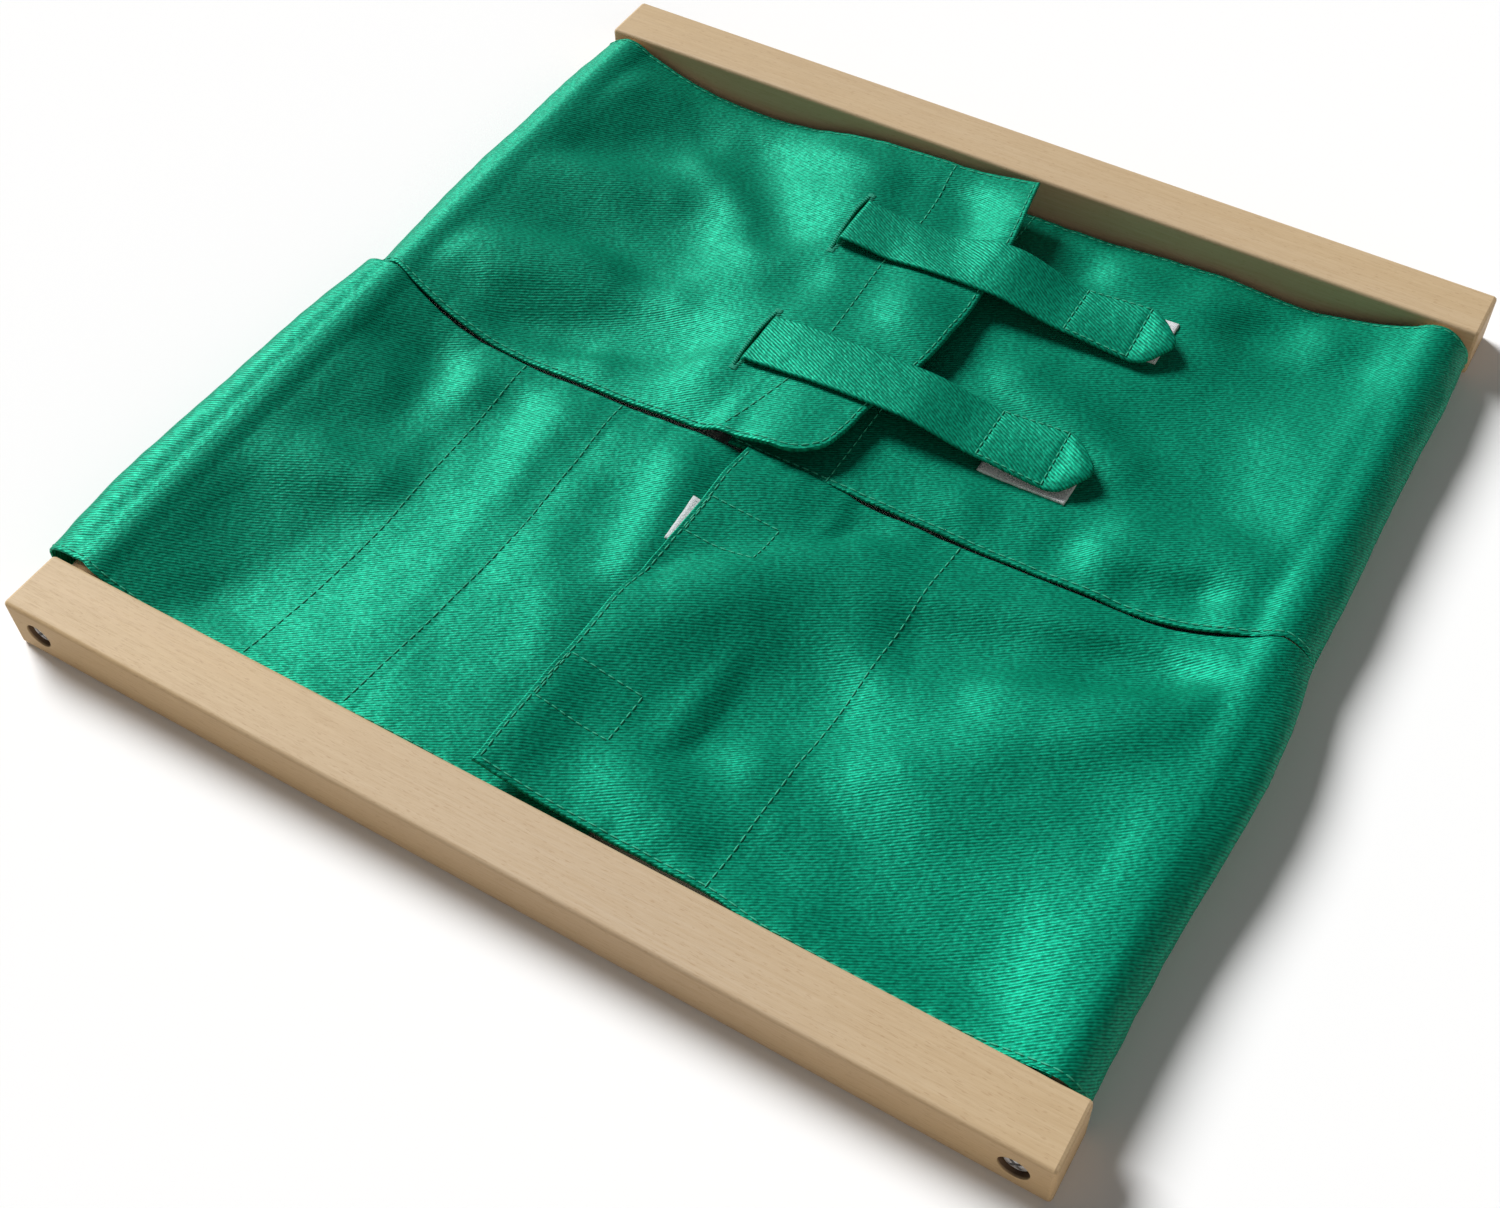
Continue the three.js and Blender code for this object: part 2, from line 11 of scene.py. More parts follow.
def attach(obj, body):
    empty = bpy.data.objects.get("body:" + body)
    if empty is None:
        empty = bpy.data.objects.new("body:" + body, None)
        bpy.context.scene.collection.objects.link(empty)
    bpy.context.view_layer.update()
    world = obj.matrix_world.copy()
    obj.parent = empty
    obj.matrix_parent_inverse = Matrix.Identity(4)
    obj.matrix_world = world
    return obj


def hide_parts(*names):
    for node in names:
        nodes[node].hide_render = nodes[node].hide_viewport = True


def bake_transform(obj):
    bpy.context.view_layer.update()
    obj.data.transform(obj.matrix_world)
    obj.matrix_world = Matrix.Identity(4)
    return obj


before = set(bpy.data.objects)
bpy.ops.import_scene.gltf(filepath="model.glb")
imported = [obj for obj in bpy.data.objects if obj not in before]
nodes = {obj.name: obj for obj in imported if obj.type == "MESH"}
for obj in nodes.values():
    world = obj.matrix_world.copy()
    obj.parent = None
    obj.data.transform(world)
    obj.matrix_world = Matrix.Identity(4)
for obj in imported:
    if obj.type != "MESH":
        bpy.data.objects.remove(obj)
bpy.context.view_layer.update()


# The camera looks down on the frame from beyond its near right corner, half a metre off.
lens = bpy.data.cameras.new("view")
lens.lens = 45.591
lens.sensor_fit = "HORIZONTAL"
lens.sensor_width = 36
lens.shift_x = -0.0255
lens.shift_y = -0.0504
camera = bpy.data.objects.new("view", lens)
bpy.context.collection.objects.link(camera)
rightward = (0.86287446, 0.50527555, -0.01201211)
upward = (-0.38063709, 0.66529428, 0.64226079)
backward = (0.33251026, -0.54961817, 0.76639206)
turned = Matrix((rightward, upward, backward)).transposed().to_4x4()
camera.matrix_world = Matrix.Translation((0.184502, -0.311080, 0.409630)) @ turned
bpy.context.scene.camera = camera


# The end rails are planed beech with softly eased edges, drilled at both ends for a sunk screw. The grain runs
# along the rail, with the short brown flecks of beech, and the clear lacquer is matt.
def join(tree, socket, value):
    if isinstance(value, bpy.types.NodeSocket):
        tree.links.new(value, socket)
    else:
        socket.default_value = value


def feed(tree, node, **inputs):
    for name, value in inputs.items():
        join(tree, node.inputs[name.replace("_", " ")], value)


def add(tree, kind, settings=None, **inputs):
    made = tree.nodes.new(kind)
    for name, value in (settings or {}).items():
        setattr(made, name, value)
    feed(tree, made, **inputs)
    return made


def sum_up(tree, operation, *values):
    made = tree.nodes.new("ShaderNodeMath")
    made.operation = operation
    for socket, value in zip(made.inputs, values):
        join(tree, socket, value)
    return made.outputs[0]


def ramp(tree, value, low, high, to_low=0.0, to_high=1.0):
    made = add(tree, "ShaderNodeMapRange", {"clamp": True}, Value=value)
    for name, number in (("From Min", low), ("From Max", high), ("To Min", to_low), ("To Max", to_high)):
        made.inputs[name].default_value = number
    return made.outputs["Result"]


def tint(tree, share, first, second, how="MIX"):
    made = add(tree, "ShaderNodeMix", {"data_type": "RGBA", "blend_type": how})
    join(tree, made.inputs["Factor"], share)
    join(tree, made.inputs["A"], first)
    join(tree, made.inputs["B"], second)
    return made.outputs["Result"]


def start_effect(name, takes, gives):
    tree = bpy.data.node_groups.new(name, "ShaderNodeTree")
    for label, kind, value in takes:
        socket = tree.interface.new_socket(label, in_out="INPUT", socket_type=kind)
        if value is not None:
            socket.default_value = value
    for label, kind in gives:
        tree.interface.new_socket(label, in_out="OUTPUT", socket_type=kind)
    return tree, tree.nodes.new("NodeGroupInput").outputs, tree.nodes.new("NodeGroupOutput").inputs


def start_finish(name, **sockets):
    finish = bpy.data.materials.new(name)
    finish.use_nodes = True
    tree = finish.node_tree
    surface = tree.nodes["Principled BSDF"]
    feed(tree, surface, **sockets)
    return finish, tree, surface


def place_effect(tree, effect, **inputs):
    return add(tree, "ShaderNodeGroup", {"node_tree": effect}, **inputs).outputs


def own_place(tree):
    return add(tree, "ShaderNodeTexCoord").outputs["Object"]


def relief_of(tree, height, strength, distance):
    return add(tree, "ShaderNodeBump", None, Strength=strength, Distance=distance, Height=height).outputs[0]


def speckle(tree, spot, stretch, detail=2.0, rough=0.5):
    moved = add(tree, "ShaderNodeMapping", None, Vector=spot, Scale=stretch).outputs[0]
    return add(tree, "ShaderNodeTexNoise", None, Vector=moved, Scale=1.0, Detail=detail, Roughness=rough).outputs[0]


grain, given, made = start_effect(
    "beech grain",
    [("Vector", "NodeSocketVector", None)],
    [("Color", "NodeSocketColor"), ("Height", "NodeSocketFloat"), ("Roughness", "NodeSocketFloat")],
)
spot = given["Vector"]
bands = speckle(grain, spot, (5, 90, 90), 3)
streaks = speckle(grain, spot, (60, 1500, 1500), 3, 0.6)
flecks = ramp(grain, speckle(grain, spot, (420, 2600, 2600), 1), 0.63, 0.72)
pores = ramp(grain, speckle(grain, spot, (160, 5200, 5200), 1), 0.58, 0.75)
ends = ramp(grain, speckle(grain, spot, (4, 12, 12), 1), 0.35, 0.7)
pale = tint(grain, ramp(grain, bands, 0.3, 0.7), (0.57, 0.405, 0.217, 1), (0.61, 0.455, 0.27, 1))
pale = tint(grain, ends, pale, (0.555, 0.425, 0.285, 1))
pale = tint(grain, ramp(grain, streaks, 0.35, 0.75, 0, 0.5), pale, (0.47, 0.32, 0.17, 1))
pale = tint(grain, ramp(grain, pores, 0, 1, 0, 0.22), pale, (0.36, 0.23, 0.12, 1))
join(grain, made["Color"], tint(grain, ramp(grain, flecks, 0, 1, 0, 0.45), pale, (0.40, 0.25, 0.13, 1)))
join(grain, made["Height"], sum_up(grain, "SUBTRACT", streaks, sum_up(grain, "MULTIPLY", pores, 0.5)))
join(grain, made["Roughness"], ramp(grain, bands, 0.2, 0.8, 0.5, 0.62))


dowel_x = 0.1429
dowel_z = 0.0085
rail_outer_y = 0.154
bore_radius = 0.0042


def inside_bores(tree, spot):
    """A mask of the drilled holes' walls and floors, where shade is painted in, full from just inside the mouth."""
    split = add(tree, "ShaderNodeSeparateXYZ", None, Vector=spot).outputs
    aside = sum_up(tree, "SUBTRACT", sum_up(tree, "ABSOLUTE", split["X"]), dowel_x)
    above = sum_up(tree, "SUBTRACT", split["Z"], dowel_z)
    squares = [sum_up(tree, "POWER", sum_up(tree, "ABSOLUTE", length), 2.0) for length in (aside, above)]
    from_axis = sum_up(tree, "SQRT", sum_up(tree, "ADD", *squares))
    near_axis = ramp(tree, from_axis, bore_radius, bore_radius + 0.0001, 1, 0)
    sunk = ramp(tree, sum_up(tree, "ABSOLUTE", split["Y"]), rail_outer_y - 0.0001, rail_outer_y - 0.0007)
    return sum_up(tree, "MULTIPLY", near_axis, sunk)


def beech_finish(name, turn):
    finish, tree, surface = start_finish(name, Specular_IOR_Level=0.35)
    spot = own_place(tree)
    # Painted shade: the holes' walls and floors are darkened to a near-black brown, because the light doesn't reach
    # into them.
    painted_bore_shade = sum_up(tree, "MULTIPLY", inside_bores(tree, spot), 0.85)
    spot = add(tree, "ShaderNodeMapping", None, Vector=spot, Rotation=(0, 0, turn)).outputs[0]
    wood = place_effect(tree, grain, Vector=spot)
    color = tint(tree, painted_bore_shade, wood["Color"], (0.06, 0.022, 0.01, 1))
    relief = relief_of(tree, wood["Height"], 0.5, 0.00008)
    feed(tree, surface, Base_Color=color, Roughness=wood["Roughness"], Normal=relief)
    return finish


def dress(name, finish):
    nodes[name].data.materials.clear()
    nodes[name].data.materials.append(finish)


rail_beech = beech_finish("rail beech", 0)
dress("near_end_rail", rail_beech)
dress("far_end_rail", rail_beech)


# The side dowels are turned beech, screwed between the end rails and hidden in the cloth sleeves.
dowel_beech = beech_finish("dowel beech", math.radians(90))
dress("left_side_dowel", dowel_beech)
dress("right_side_dowel", dowel_beech)


# The screws are plated steel with a cross recess, sunk in the counterbores and a little dulled. In the photograph
# their heads sit a little nearer the mouth than in the model, so each is its model's shape with the head raised.
screw_steel, tree, surface = start_finish("screw steel", Metallic=0.7)
dulled = speckle(tree, own_place(tree), (900, 900, 900), 3)
color = tint(tree, dulled, (0.42, 0.42, 0.43, 1), (0.66, 0.66, 0.67, 1))
feed(tree, surface, Base_Color=color, Roughness=ramp(tree, dulled, 0.3, 0.7, 0.30, 0.48))
feed(tree, surface, Normal=relief_of(tree, dulled, 0.2, 0.00005))
counterbore_floor_y = rail_outer_y - 0.005
head_raised = 0.0012


def put_in(name, shape, finish):
    mesh = bpy.data.meshes.new(name)
    shape.to_mesh(mesh)
    shape.free()
    mesh.materials.append(finish)
    piece = bpy.data.objects.new(name, mesh)
    bpy.context.collection.objects.link(piece)
    return piece


for corner in ("near_left", "near_right", "far_left", "far_right"):
    outward = -1 if corner.startswith("near") else 1
    shaped = bmesh.new()
    shaped.from_mesh(nodes[corner + "_screw"].data)
    bmesh.ops.remove_doubles(shaped, verts=shaped.verts, dist=1e-6)
    head = [vertex for vertex in shaped.verts if abs(vertex.co.y) > counterbore_floor_y - 0.0001]
    bmesh.ops.translate(shaped, verts=head, vec=(0, outward * head_raised, 0))
    screw = put_in("raised_" + corner + "_screw", shaped, screw_steel)
    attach(screw, "frame")
    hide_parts(corner + "_screw")


# The panels are cut from green polyester satin with a fine slanting rib, hemmed on three sides and faced along
# the free edge. Each hangs between the end rails from the dowel that its sleeve runs on.
twill, given, made = start_effect(
    "satin twill",
    [("Vector", "NodeSocketVector", None), ("Pitch", "NodeSocketFloat", 0.0007), ("Turn", "NodeSocketFloat", 0.0)],
    [("Shade", "NodeSocketFloat"), ("Height", "NodeSocketFloat"), ("Gloss", "NodeSocketFloat")],
)
scale = sum_up(twill, "DIVIDE", 1.0, given["Pitch"])
turned = {"rotation_type": "Z_AXIS"}
threads = add(twill, "ShaderNodeVectorRotate", turned, Vector=given["Vector"], Angle=given["Turn"])
threads = add(twill, "ShaderNodeVectorMath", {"operation": "SCALE"}, Vector=threads.outputs[0], Scale=scale)
fuzz = speckle(twill, threads.outputs[0], (0.8, 1.3, 1.0), 2, 0.6)
sway = speckle(twill, threads.outputs[0], (0.12, 0.12, 0.12), 1)
split = add(twill, "ShaderNodeSeparateXYZ", None, Vector=threads.outputs[0]).outputs
across = sum_up(twill, "ADD", split["Y"], sum_up(twill, "MULTIPLY", sway, 0.4))
rib = sum_up(twill, "ABSOLUTE", sum_up(twill, "SINE", sum_up(twill, "MULTIPLY", across, math.pi)))
dash = ramp(twill, speckle(twill, threads.outputs[0], (0.55, 1.1, 1.0), 0), 0.35, 0.65)
weave = sum_up(twill, "ADD", sum_up(twill, "MULTIPLY", rib, 0.5), sum_up(twill, "MULTIPLY", dash, 0.3))
weave = sum_up(twill, "ADD", weave, sum_up(twill, "MULTIPLY", fuzz, 0.4))
join(twill, made["Height"], weave)
# Painted shade and sheen: the colour follows the rib relief, darker in the grooves between the ribs and lighter on
# the raised floats and their dashes.
join(twill, made["Shade"], ramp(twill, weave, 0.3, 1.05, 0.0, 1.0))
join(twill, made["Gloss"], ramp(twill, fuzz, 0.3, 0.7, 0.44, 0.56))


def satin_finish(name, pitch, turn, depth):
    finish, tree, surface = start_finish(name, Metallic=0.36, Specular_IOR_Level=0.35)
    surface.inputs["Specular Tint"].default_value = (0.12, 1.0, 0.75, 1)
    cloth = add(tree, "ShaderNodeUVMap", {"uv_map": "cloth"}).outputs[0]
    woven = place_effect(tree, twill, Vector=cloth, Pitch=pitch, Turn=turn)
    # The twill's shade factor is painted shade and sheen, and it sets the green from dark in the grooves to light on
    # the floats.
    color = tint(tree, woven["Shade"], (0.0005, 0.1, 0.056, 1), (0.003, 0.355, 0.205, 1))
    relief = relief_of(tree, woven["Height"], 0.7, depth)
    feed(tree, surface, Base_Color=color, Roughness=woven["Gloss"], Normal=relief)
    return finish


panel_satin = satin_finish("panel satin", 0.00082, math.radians(-32), 0.00022)

cloth_thickness = 0.0008
ply = 0.0004
hem = 0.005
fall = 0.010
crest_radius = 0.0091
sleeve_radius = 0.0080
crest_z = dowel_z + crest_radius
hem_far_y = 0.1323
seam_y = -0.0049
seam_gap = 0.0005
seam_rail_y = 0.0018
seam_rise_width = 0.042
hem_stitch = 0.0015
sway_size = 0.003
edge_blend = 0.042
drift_fade = 0.035
fold_limit = 0.0040
flap_clearance = 0.0036
sleeve_spread = 0.0105


def ease(value, low, high):
    share = np.clip((value - low) / (high - low), 0, 1)
    return share * share * (3 - 2 * share)


def smooth_between(pick, i, last, f):
    b, c = pick(i), pick(i + 1)
    a = np.where(i > 0, pick(np.maximum(i - 1, 0)), 2 * b - c)
    d = np.where(i + 2 <= last, pick(np.minimum(i + 2, last)), 2 * c - b)
    return b + (f / 2) * (c - a + f * (2 * a - 5 * b + 4 * c - d + f * (3 * (b - c) + d - a)))


def along_shares(shares, t):
    shares = np.asarray(shares, float)
    last = len(shares) - 1
    s = np.clip(t, 0, 1) * last
    i = np.minimum(np.floor(s).astype(int), last - 1)
    return smooth_between(lambda k: shares[k], i, last, s - i)


def crumple(x, y, size, seed):
    flat = [noise.noise(Vector((a / size, b / size, seed))) for a, b in zip(x.ravel(), y.ravel())]
    return np.array(flat).reshape(x.shape)


class Panel:
    """One cloth panel, from its free edge over the crest of its dowel and down the dowel's outer side.

    A fold is a straight run: x and y where it starts and where it ends, its half width and its rise, in mm. The
    rows of folds weren't chosen by hand. A separate program fitted them to the shading in the photograph.
    """

    def __init__(
        self, side, edge, near_y, far_y, seam, facing, sways, falls, folds, loose, corner=None, drift=None, below=None
    ):
        self.side = side
        self.edge = edge
        self.near_y = near_y
        self.far_y = far_y
        self.seam = seam
        self.facing = facing
        self.sways = sways
        self.falls = falls
        self.folds = folds
        self.loose = loose
        self.corner = corner
        self.drift = drift
        self.below = below
        self.reach = dowel_x - side * edge
        self.depth = far_y - near_y

    def rise(self, x, y):
        """How far a row lies from its own y: the seam bends far by a dowel, and a near hem drifts to its rail."""
        from_crest = np.clip(dowel_x - self.side * x, 0, None)
        near_rail = np.clip(1 - from_crest / seam_rise_width, 0, None)
        risen = (seam_rail_y - seam_y) * near_rail**2 * (1 - np.abs(y - self.seam) / self.depth)
        if self.drift is None:
            return risen
        from_x, to_x, distance = self.drift
        return risen - distance * ease(x, from_x, to_x) * (1 - ease(y - self.near_y, 0, drift_fade))

    def free_edge(self, y):
        """The free edge's x in the row at y, with its sway and its rounded corner."""
        edge = self.edge + sway_size * along_shares(self.sways, (y - self.near_y) / self.depth)
        if self.corner is None:
            return edge
        middle_x, middle_y, radius = self.corner
        rounded = middle_x + np.sqrt(np.clip(radius**2 - (middle_y - y) ** 2, 0, None))
        return np.where(y < middle_y, np.minimum(edge, rounded), edge)

    def from_hems(self, x, y):
        """How far a place is from the near hem and from the far one."""
        return y - self.near_y - self.rise(x, self.near_y), self.far_y + self.rise(x, self.far_y) - y

    def place(self, d, y):
        """The place on the frame of the cloth at a distance d from the free edge, in the row at y."""
        x = self.edge + self.side * d + (self.free_edge(y) - self.edge) * (1 - ease(d, 0, edge_blend))
        return x, y + self.rise(x, y)

    def upper(self, x, y):
        return np.stack([x, y, self.height(x, y) + cloth_thickness / 2], -1)

    def lie(self, x, y):
        """The middle of the upper ply without its small crumples."""
        across = (dowel_x - self.side * x) / self.reach
        along = (y - self.near_y) / self.depth
        rows = np.stack([along_shares(row, across) for row in self.falls])
        s = np.clip(along, 0, 1) * (len(rows) - 1)
        z = crest_z - fall * self.between_rows(rows, s)
        low, high = self.from_hems(x, y)
        # The folds die out by the dowel, and the hems hold them down to a third.
        held = ease(across, 0.02, 0.09) * (0.3 + 0.7 * ease(np.minimum(low, high), 0, 0.016))
        folded = 0.0
        for x0, y0, x1, y1, half, rise in np.array(self.folds) / 1000:
            run_x, run_y = x1 - x0, y1 - y0
            share = np.clip(((x - x0) * run_x + (y - y0) * run_y) / (run_x**2 + run_y**2 + 1e-9), 0, 1)
            away = np.hypot(x - x0 - share * run_x, y - y0 - share * run_y) / half
            folded = folded + rise * np.exp(-away * away)
        z = z + held * fold_limit * np.tanh(folded / fold_limit)
        if self.below is None:
            return z
        # A flap keeps clear of the panel below it and sinks again beyond that panel's free edge.
        beyond = self.side * (x - self.below.edge)
        floor_z = self.below.lie(x, y) + flap_clearance - 0.016 * ease(beyond, 0.001, 0.030)
        return (z + floor_z + np.sqrt((z - floor_z) ** 2 + 0.0008**2)) / 2

    def height(self, x, y):
        """The middle of the upper ply at a place on the frame."""
        held = ease(dowel_x - self.side * x, 0.008, 0.023)
        z = self.lie(x, y)
        z = z + held * 0.0003 * crumple(x, y, 0.016, self.edge * 90)
        z = z + held * 0.00012 * crumple(x, y, 0.006, self.edge * 50 + 7)
        z = z + held * self.pucker(x, y)
        # Over the dowel the cloth follows the crest, and the two run together without a crease.
        over = np.clip(crest_radius**2 - (dowel_x - self.side * x) ** 2, 0, None)
        crest = dowel_z + np.sqrt(over)
        soft = 0.0012 * ease(dowel_x - self.side * x, 0, 0.006)
        near = np.clip(soft - np.abs(z - crest), 0, None) / np.maximum(soft, 1e-9)
        lifted = np.maximum(z, crest) + near**2 * soft / 4
        return np.where(over > 0, lifted, z)

    @staticmethod
    def between_rows(rows, s):
        last = len(rows) - 1
        i = np.minimum(np.floor(s).astype(int), last - 1)
        return smooth_between(lambda k: np.take_along_axis(rows, k[None], 0)[0], i, last, s - i)

    def pucker(self, x, y):
        """The little gathers that the thread draws along the hems and the facing."""
        low, high = self.from_hems(x, y)
        inward = self.side * (x - self.free_edge(y))
        puckers = 0.0
        for away, run, seed in ((low, x, 1.0), (high, x, 2.0), (inward, y, 3.0), (inward - self.facing, y, 4.0)):
            gather = crumple(run, 0 * run + seed * 0.01, 0.0042, seed + self.edge * 40)
            inset = hem_stitch if seed < 4 else 0.0
            size = 0.0003 if seed < 4 else 0.00016
            puckers = puckers + size * gather * np.exp(-(((away - inset) / 0.004) ** 2))
            puckers = puckers - 0.00008 * np.exp(-(((away - inset) / 0.0008) ** 2))
        return puckers

    def plies(self, d, y):
        """How many plies are turned under the cloth, in its hems and its facing."""
        ends = np.minimum(self.far_y - y, y - self.near_y)
        hemmed = (d < self.reach - crest_radius) & (np.minimum(d, ends) < hem)
        return hemmed.astype(float) + (d < self.facing)

    def sleeve(self, angle, y):
        """The sleeve's middle surface at an angle outward from the crest, and the way it faces."""
        slack = along_shares([1, 1.14, 1.62, 2.02, 1.8, 1.55, 1.32, 1.08, 1], angle / math.pi)
        low = self.near_y + self.rise(self.side * dowel_x, self.near_y)
        high = self.far_y + self.rise(self.side * dowel_x, self.far_y)
        loose = along_shares(self.loose, (y - low) / (high - low))
        tight = sleeve_radius + (crest_radius - sleeve_radius) * (1 - ease(angle, 0, 0.9))
        wrinkle = 0.00025 * crumple(angle * 0.012, y, 0.007, self.edge * 70 + 3)
        radius = tight + loose * (slack - 1) * 0.0084
        radius = radius + wrinkle * ease(angle, 0.1, 0.6) * (1 - ease(angle, 2.4, 3.0))
        outward = np.stack([self.side * np.sin(angle), 0 * angle, np.cos(angle)], -1)
        middle = np.stack([self.side * dowel_x + 0 * angle, y, dowel_z + 0 * angle], -1)
        return middle + outward * radius[..., None], outward


def spaced(marks, step):
    """Places no further apart than a step, with every mark among them."""
    places = [marks[0]]
    for mark in [mark for mark, before in zip(marks[1:], marks) if mark - before > 0.00004]:
        count = max(1, math.ceil((mark - places[-1]) / step - 1e-6))
        start = places[-1]
        places += [start + (mark - start) * (k + 1) / count for k in range(count)]
    return np.array(places)


def make_sheet(name, upper, lower, cloth_uv, finish, gone=None):
    """A closed sheet from two grids of places, its upper and its lower surface."""
    rows, columns = upper.shape[:2]
    sheet = bmesh.new()
    bmesh.ops.create_grid(sheet, x_segments=columns - 1, y_segments=rows - 1, size=1)
    order = sheet.verts.layers.int.new("order")
    uv_layer = sheet.loops.layers.uv.new("cloth")
    flat_uv = cloth_uv.reshape(-1, 2)
    for k, vert in enumerate(sheet.verts):
        vert[order] = k
    for face in sheet.faces:
        for loop in face.loops:
            loop[uv_layer].uv = flat_uv[loop.vert[order]]
    if gone is not None:
        flat_gone = gone.ravel()
        cut = [face for face in sheet.faces if all(flat_gone[vert[order]] for vert in face.verts)]
        bmesh.ops.delete(sheet, geom=cut, context="FACES")
    pulled = bmesh.ops.extrude_face_region(sheet, geom=sheet.faces[:])["geom"]
    raised = {part for part in pulled if isinstance(part, bmesh.types.BMVert)}
    tops, bottoms = upper.reshape(-1, 3), lower.reshape(-1, 3)
    for vert in sheet.verts:
        vert.co = tops[vert[order]] if vert in raised else bottoms[vert[order]]
    bmesh.ops.recalc_face_normals(sheet, faces=sheet.faces[:])
    for face in sheet.faces:
        face.smooth = True
    return put_in(name, sheet, finish)


def rolled(distance, radius=0.0005):
    """How far a folded edge has rounded off at a distance from it."""
    inside = np.clip(1 - distance / radius, 0, 1)
    return radius * (1 - np.sqrt(1 - inside**2))


slot_x = -0.0325
slot_half_length = 0.0126
slot_half_width = 0.0009


def panel_piece(name, panel, ys, slots=()):
    """The upper and the lower surface of a panel, with its sleeve's outer half, as one sheet of cloth."""
    marks = [0, 0.0002, 0.0005, 0.001, hem_stitch - 0.0008, hem_stitch, hem_stitch + 0.0008, hem, hem + ply]
    marks += [panel.facing - 0.0008, panel.facing, panel.facing + ply, panel.facing + 0.0012]
    right_lip, left_lip = panel.edge - slot_x - slot_half_width, panel.edge - slot_x + slot_half_width
    if slots:
        marks += [right_lip - 0.0016, right_lip - 0.0008, right_lip, left_lip, left_lip + 0.0006, left_lip + 0.0014]
    marks += [panel.reach - 0.012, panel.reach]
    distances = spaced(sorted(marks), 0.00115)
    y, d = np.meshgrid(ys, distances, indexing="ij")
    x, shifted = panel.place(d, y)
    gone = np.zeros(y.shape, bool)
    # A slot is a cut between two lips, drawn apart in the shape of a lens that fades beyond its ends.
    for slot_y in slots:
        lens_shape = np.clip(1 - ((y - slot_y) / slot_half_length) ** 2, 0.1, None)
        beyond = np.clip(np.abs(y - slot_y) - slot_half_length, 0, None)
        inside = beyond < 1e-6
        gone |= inside & (d > right_lip - 1e-6) & (d < left_lip + 1e-6)
        fading = np.exp(-((beyond / 0.0015) ** 2))
        left_pull = slot_half_width - (slot_half_width + 0.0003) * lens_shape
        right_pull = -slot_half_width * (1 - lens_shape)
        middle_d = (left_lip + right_lip) / 2
        pull = np.where(d > middle_d, left_pull, right_pull) * fading
        lip = np.where(d > middle_d, left_lip, right_lip)
        x = x + pull * np.exp(-(((d - lip) / 0.0014) ** 2))
    z = panel.height(x, shifted)
    ends = np.minimum(y - panel.near_y, panel.far_y - y)
    round_off = rolled(np.minimum(d, ends))
    top = np.stack([x, shifted, z + cloth_thickness / 2 - round_off], -1)
    bottom = np.stack([x, shifted, z - cloth_thickness / 2 - panel.plies(d, y) * ply + round_off], -1)
    angles = np.linspace(0, math.pi, 31)[1:]
    y, a = np.meshgrid(ys, angles, indexing="ij")
    y = y + panel.rise(panel.side * dowel_x + 0 * y, y)
    middle, outward = panel.sleeve(a, y)
    half = (cloth_thickness / 2 - rolled(np.minimum(y - y.min(), y.max() - y)) * 0.7)[..., None]
    upper = np.concatenate([top, middle + outward * half], 1)
    lower = np.concatenate([bottom, middle - outward * half], 1)
    u = np.concatenate([x, panel.side * (dowel_x + a * sleeve_spread)], 1)
    v = np.concatenate([shifted, y], 1)
    gone = np.concatenate([gone, np.zeros(y.shape, bool)], 1)
    return make_sheet(name, upper, lower, np.stack([u, v], -1), panel_satin, gone)


def rows_of(near_y, far_y, others=()):
    """The rows of a panel's cloth, close together where it is hemmed or cut."""
    marks = [near_y + mark for mark in (0, 0.0002, 0.0005, 0.001, hem_stitch, 0.0022, 0.0032, hem, hem + ply)]
    marks += [far_y - mark for mark in (hem + ply, hem, 0.0032, 0.0022, hem_stitch, 0.001, 0.0005, 0.0002, 0)]
    return spaced(sorted(marks + list(others)), 0.00118)


def inner_sleeve(name, panel, low_y, high_y):
    """The half of a sleeve that lies between its dowel and its panel."""
    ys = spaced([low_y, low_y + 0.0005, high_y - 0.0005, high_y], 0.003)
    angles = np.linspace(math.radians(-176), math.radians(-6), 22)
    y, a = np.meshgrid(ys, angles, indexing="ij")
    outward = np.stack([panel.side * np.sin(a), 0 * a, np.cos(a)], -1)
    middle = np.stack([panel.side * dowel_x + 0 * a, y, dowel_z + 0 * a], -1) + outward * sleeve_radius
    half = cloth_thickness / 2 * (1 - 0.5 * ease(-a, 0.3, 0.1))[..., None]
    uv = np.stack([panel.side * (dowel_x + a * sleeve_spread), y], -1)
    piece = make_sheet(name, middle + outward * half, middle - outward * half, uv, panel_satin)
    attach(piece, "frame")
    return piece


def hang_up(piece):
    """Bakes the cloth's placing into its mesh; its shape bends over the crest and stays on its dowel beyond it."""
    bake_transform(piece)


upper_near_y = seam_y + seam_gap / 2
lower_far_y = seam_y - seam_gap / 2
strap_places = {"upper": 0.089503, "lower": 0.031505}

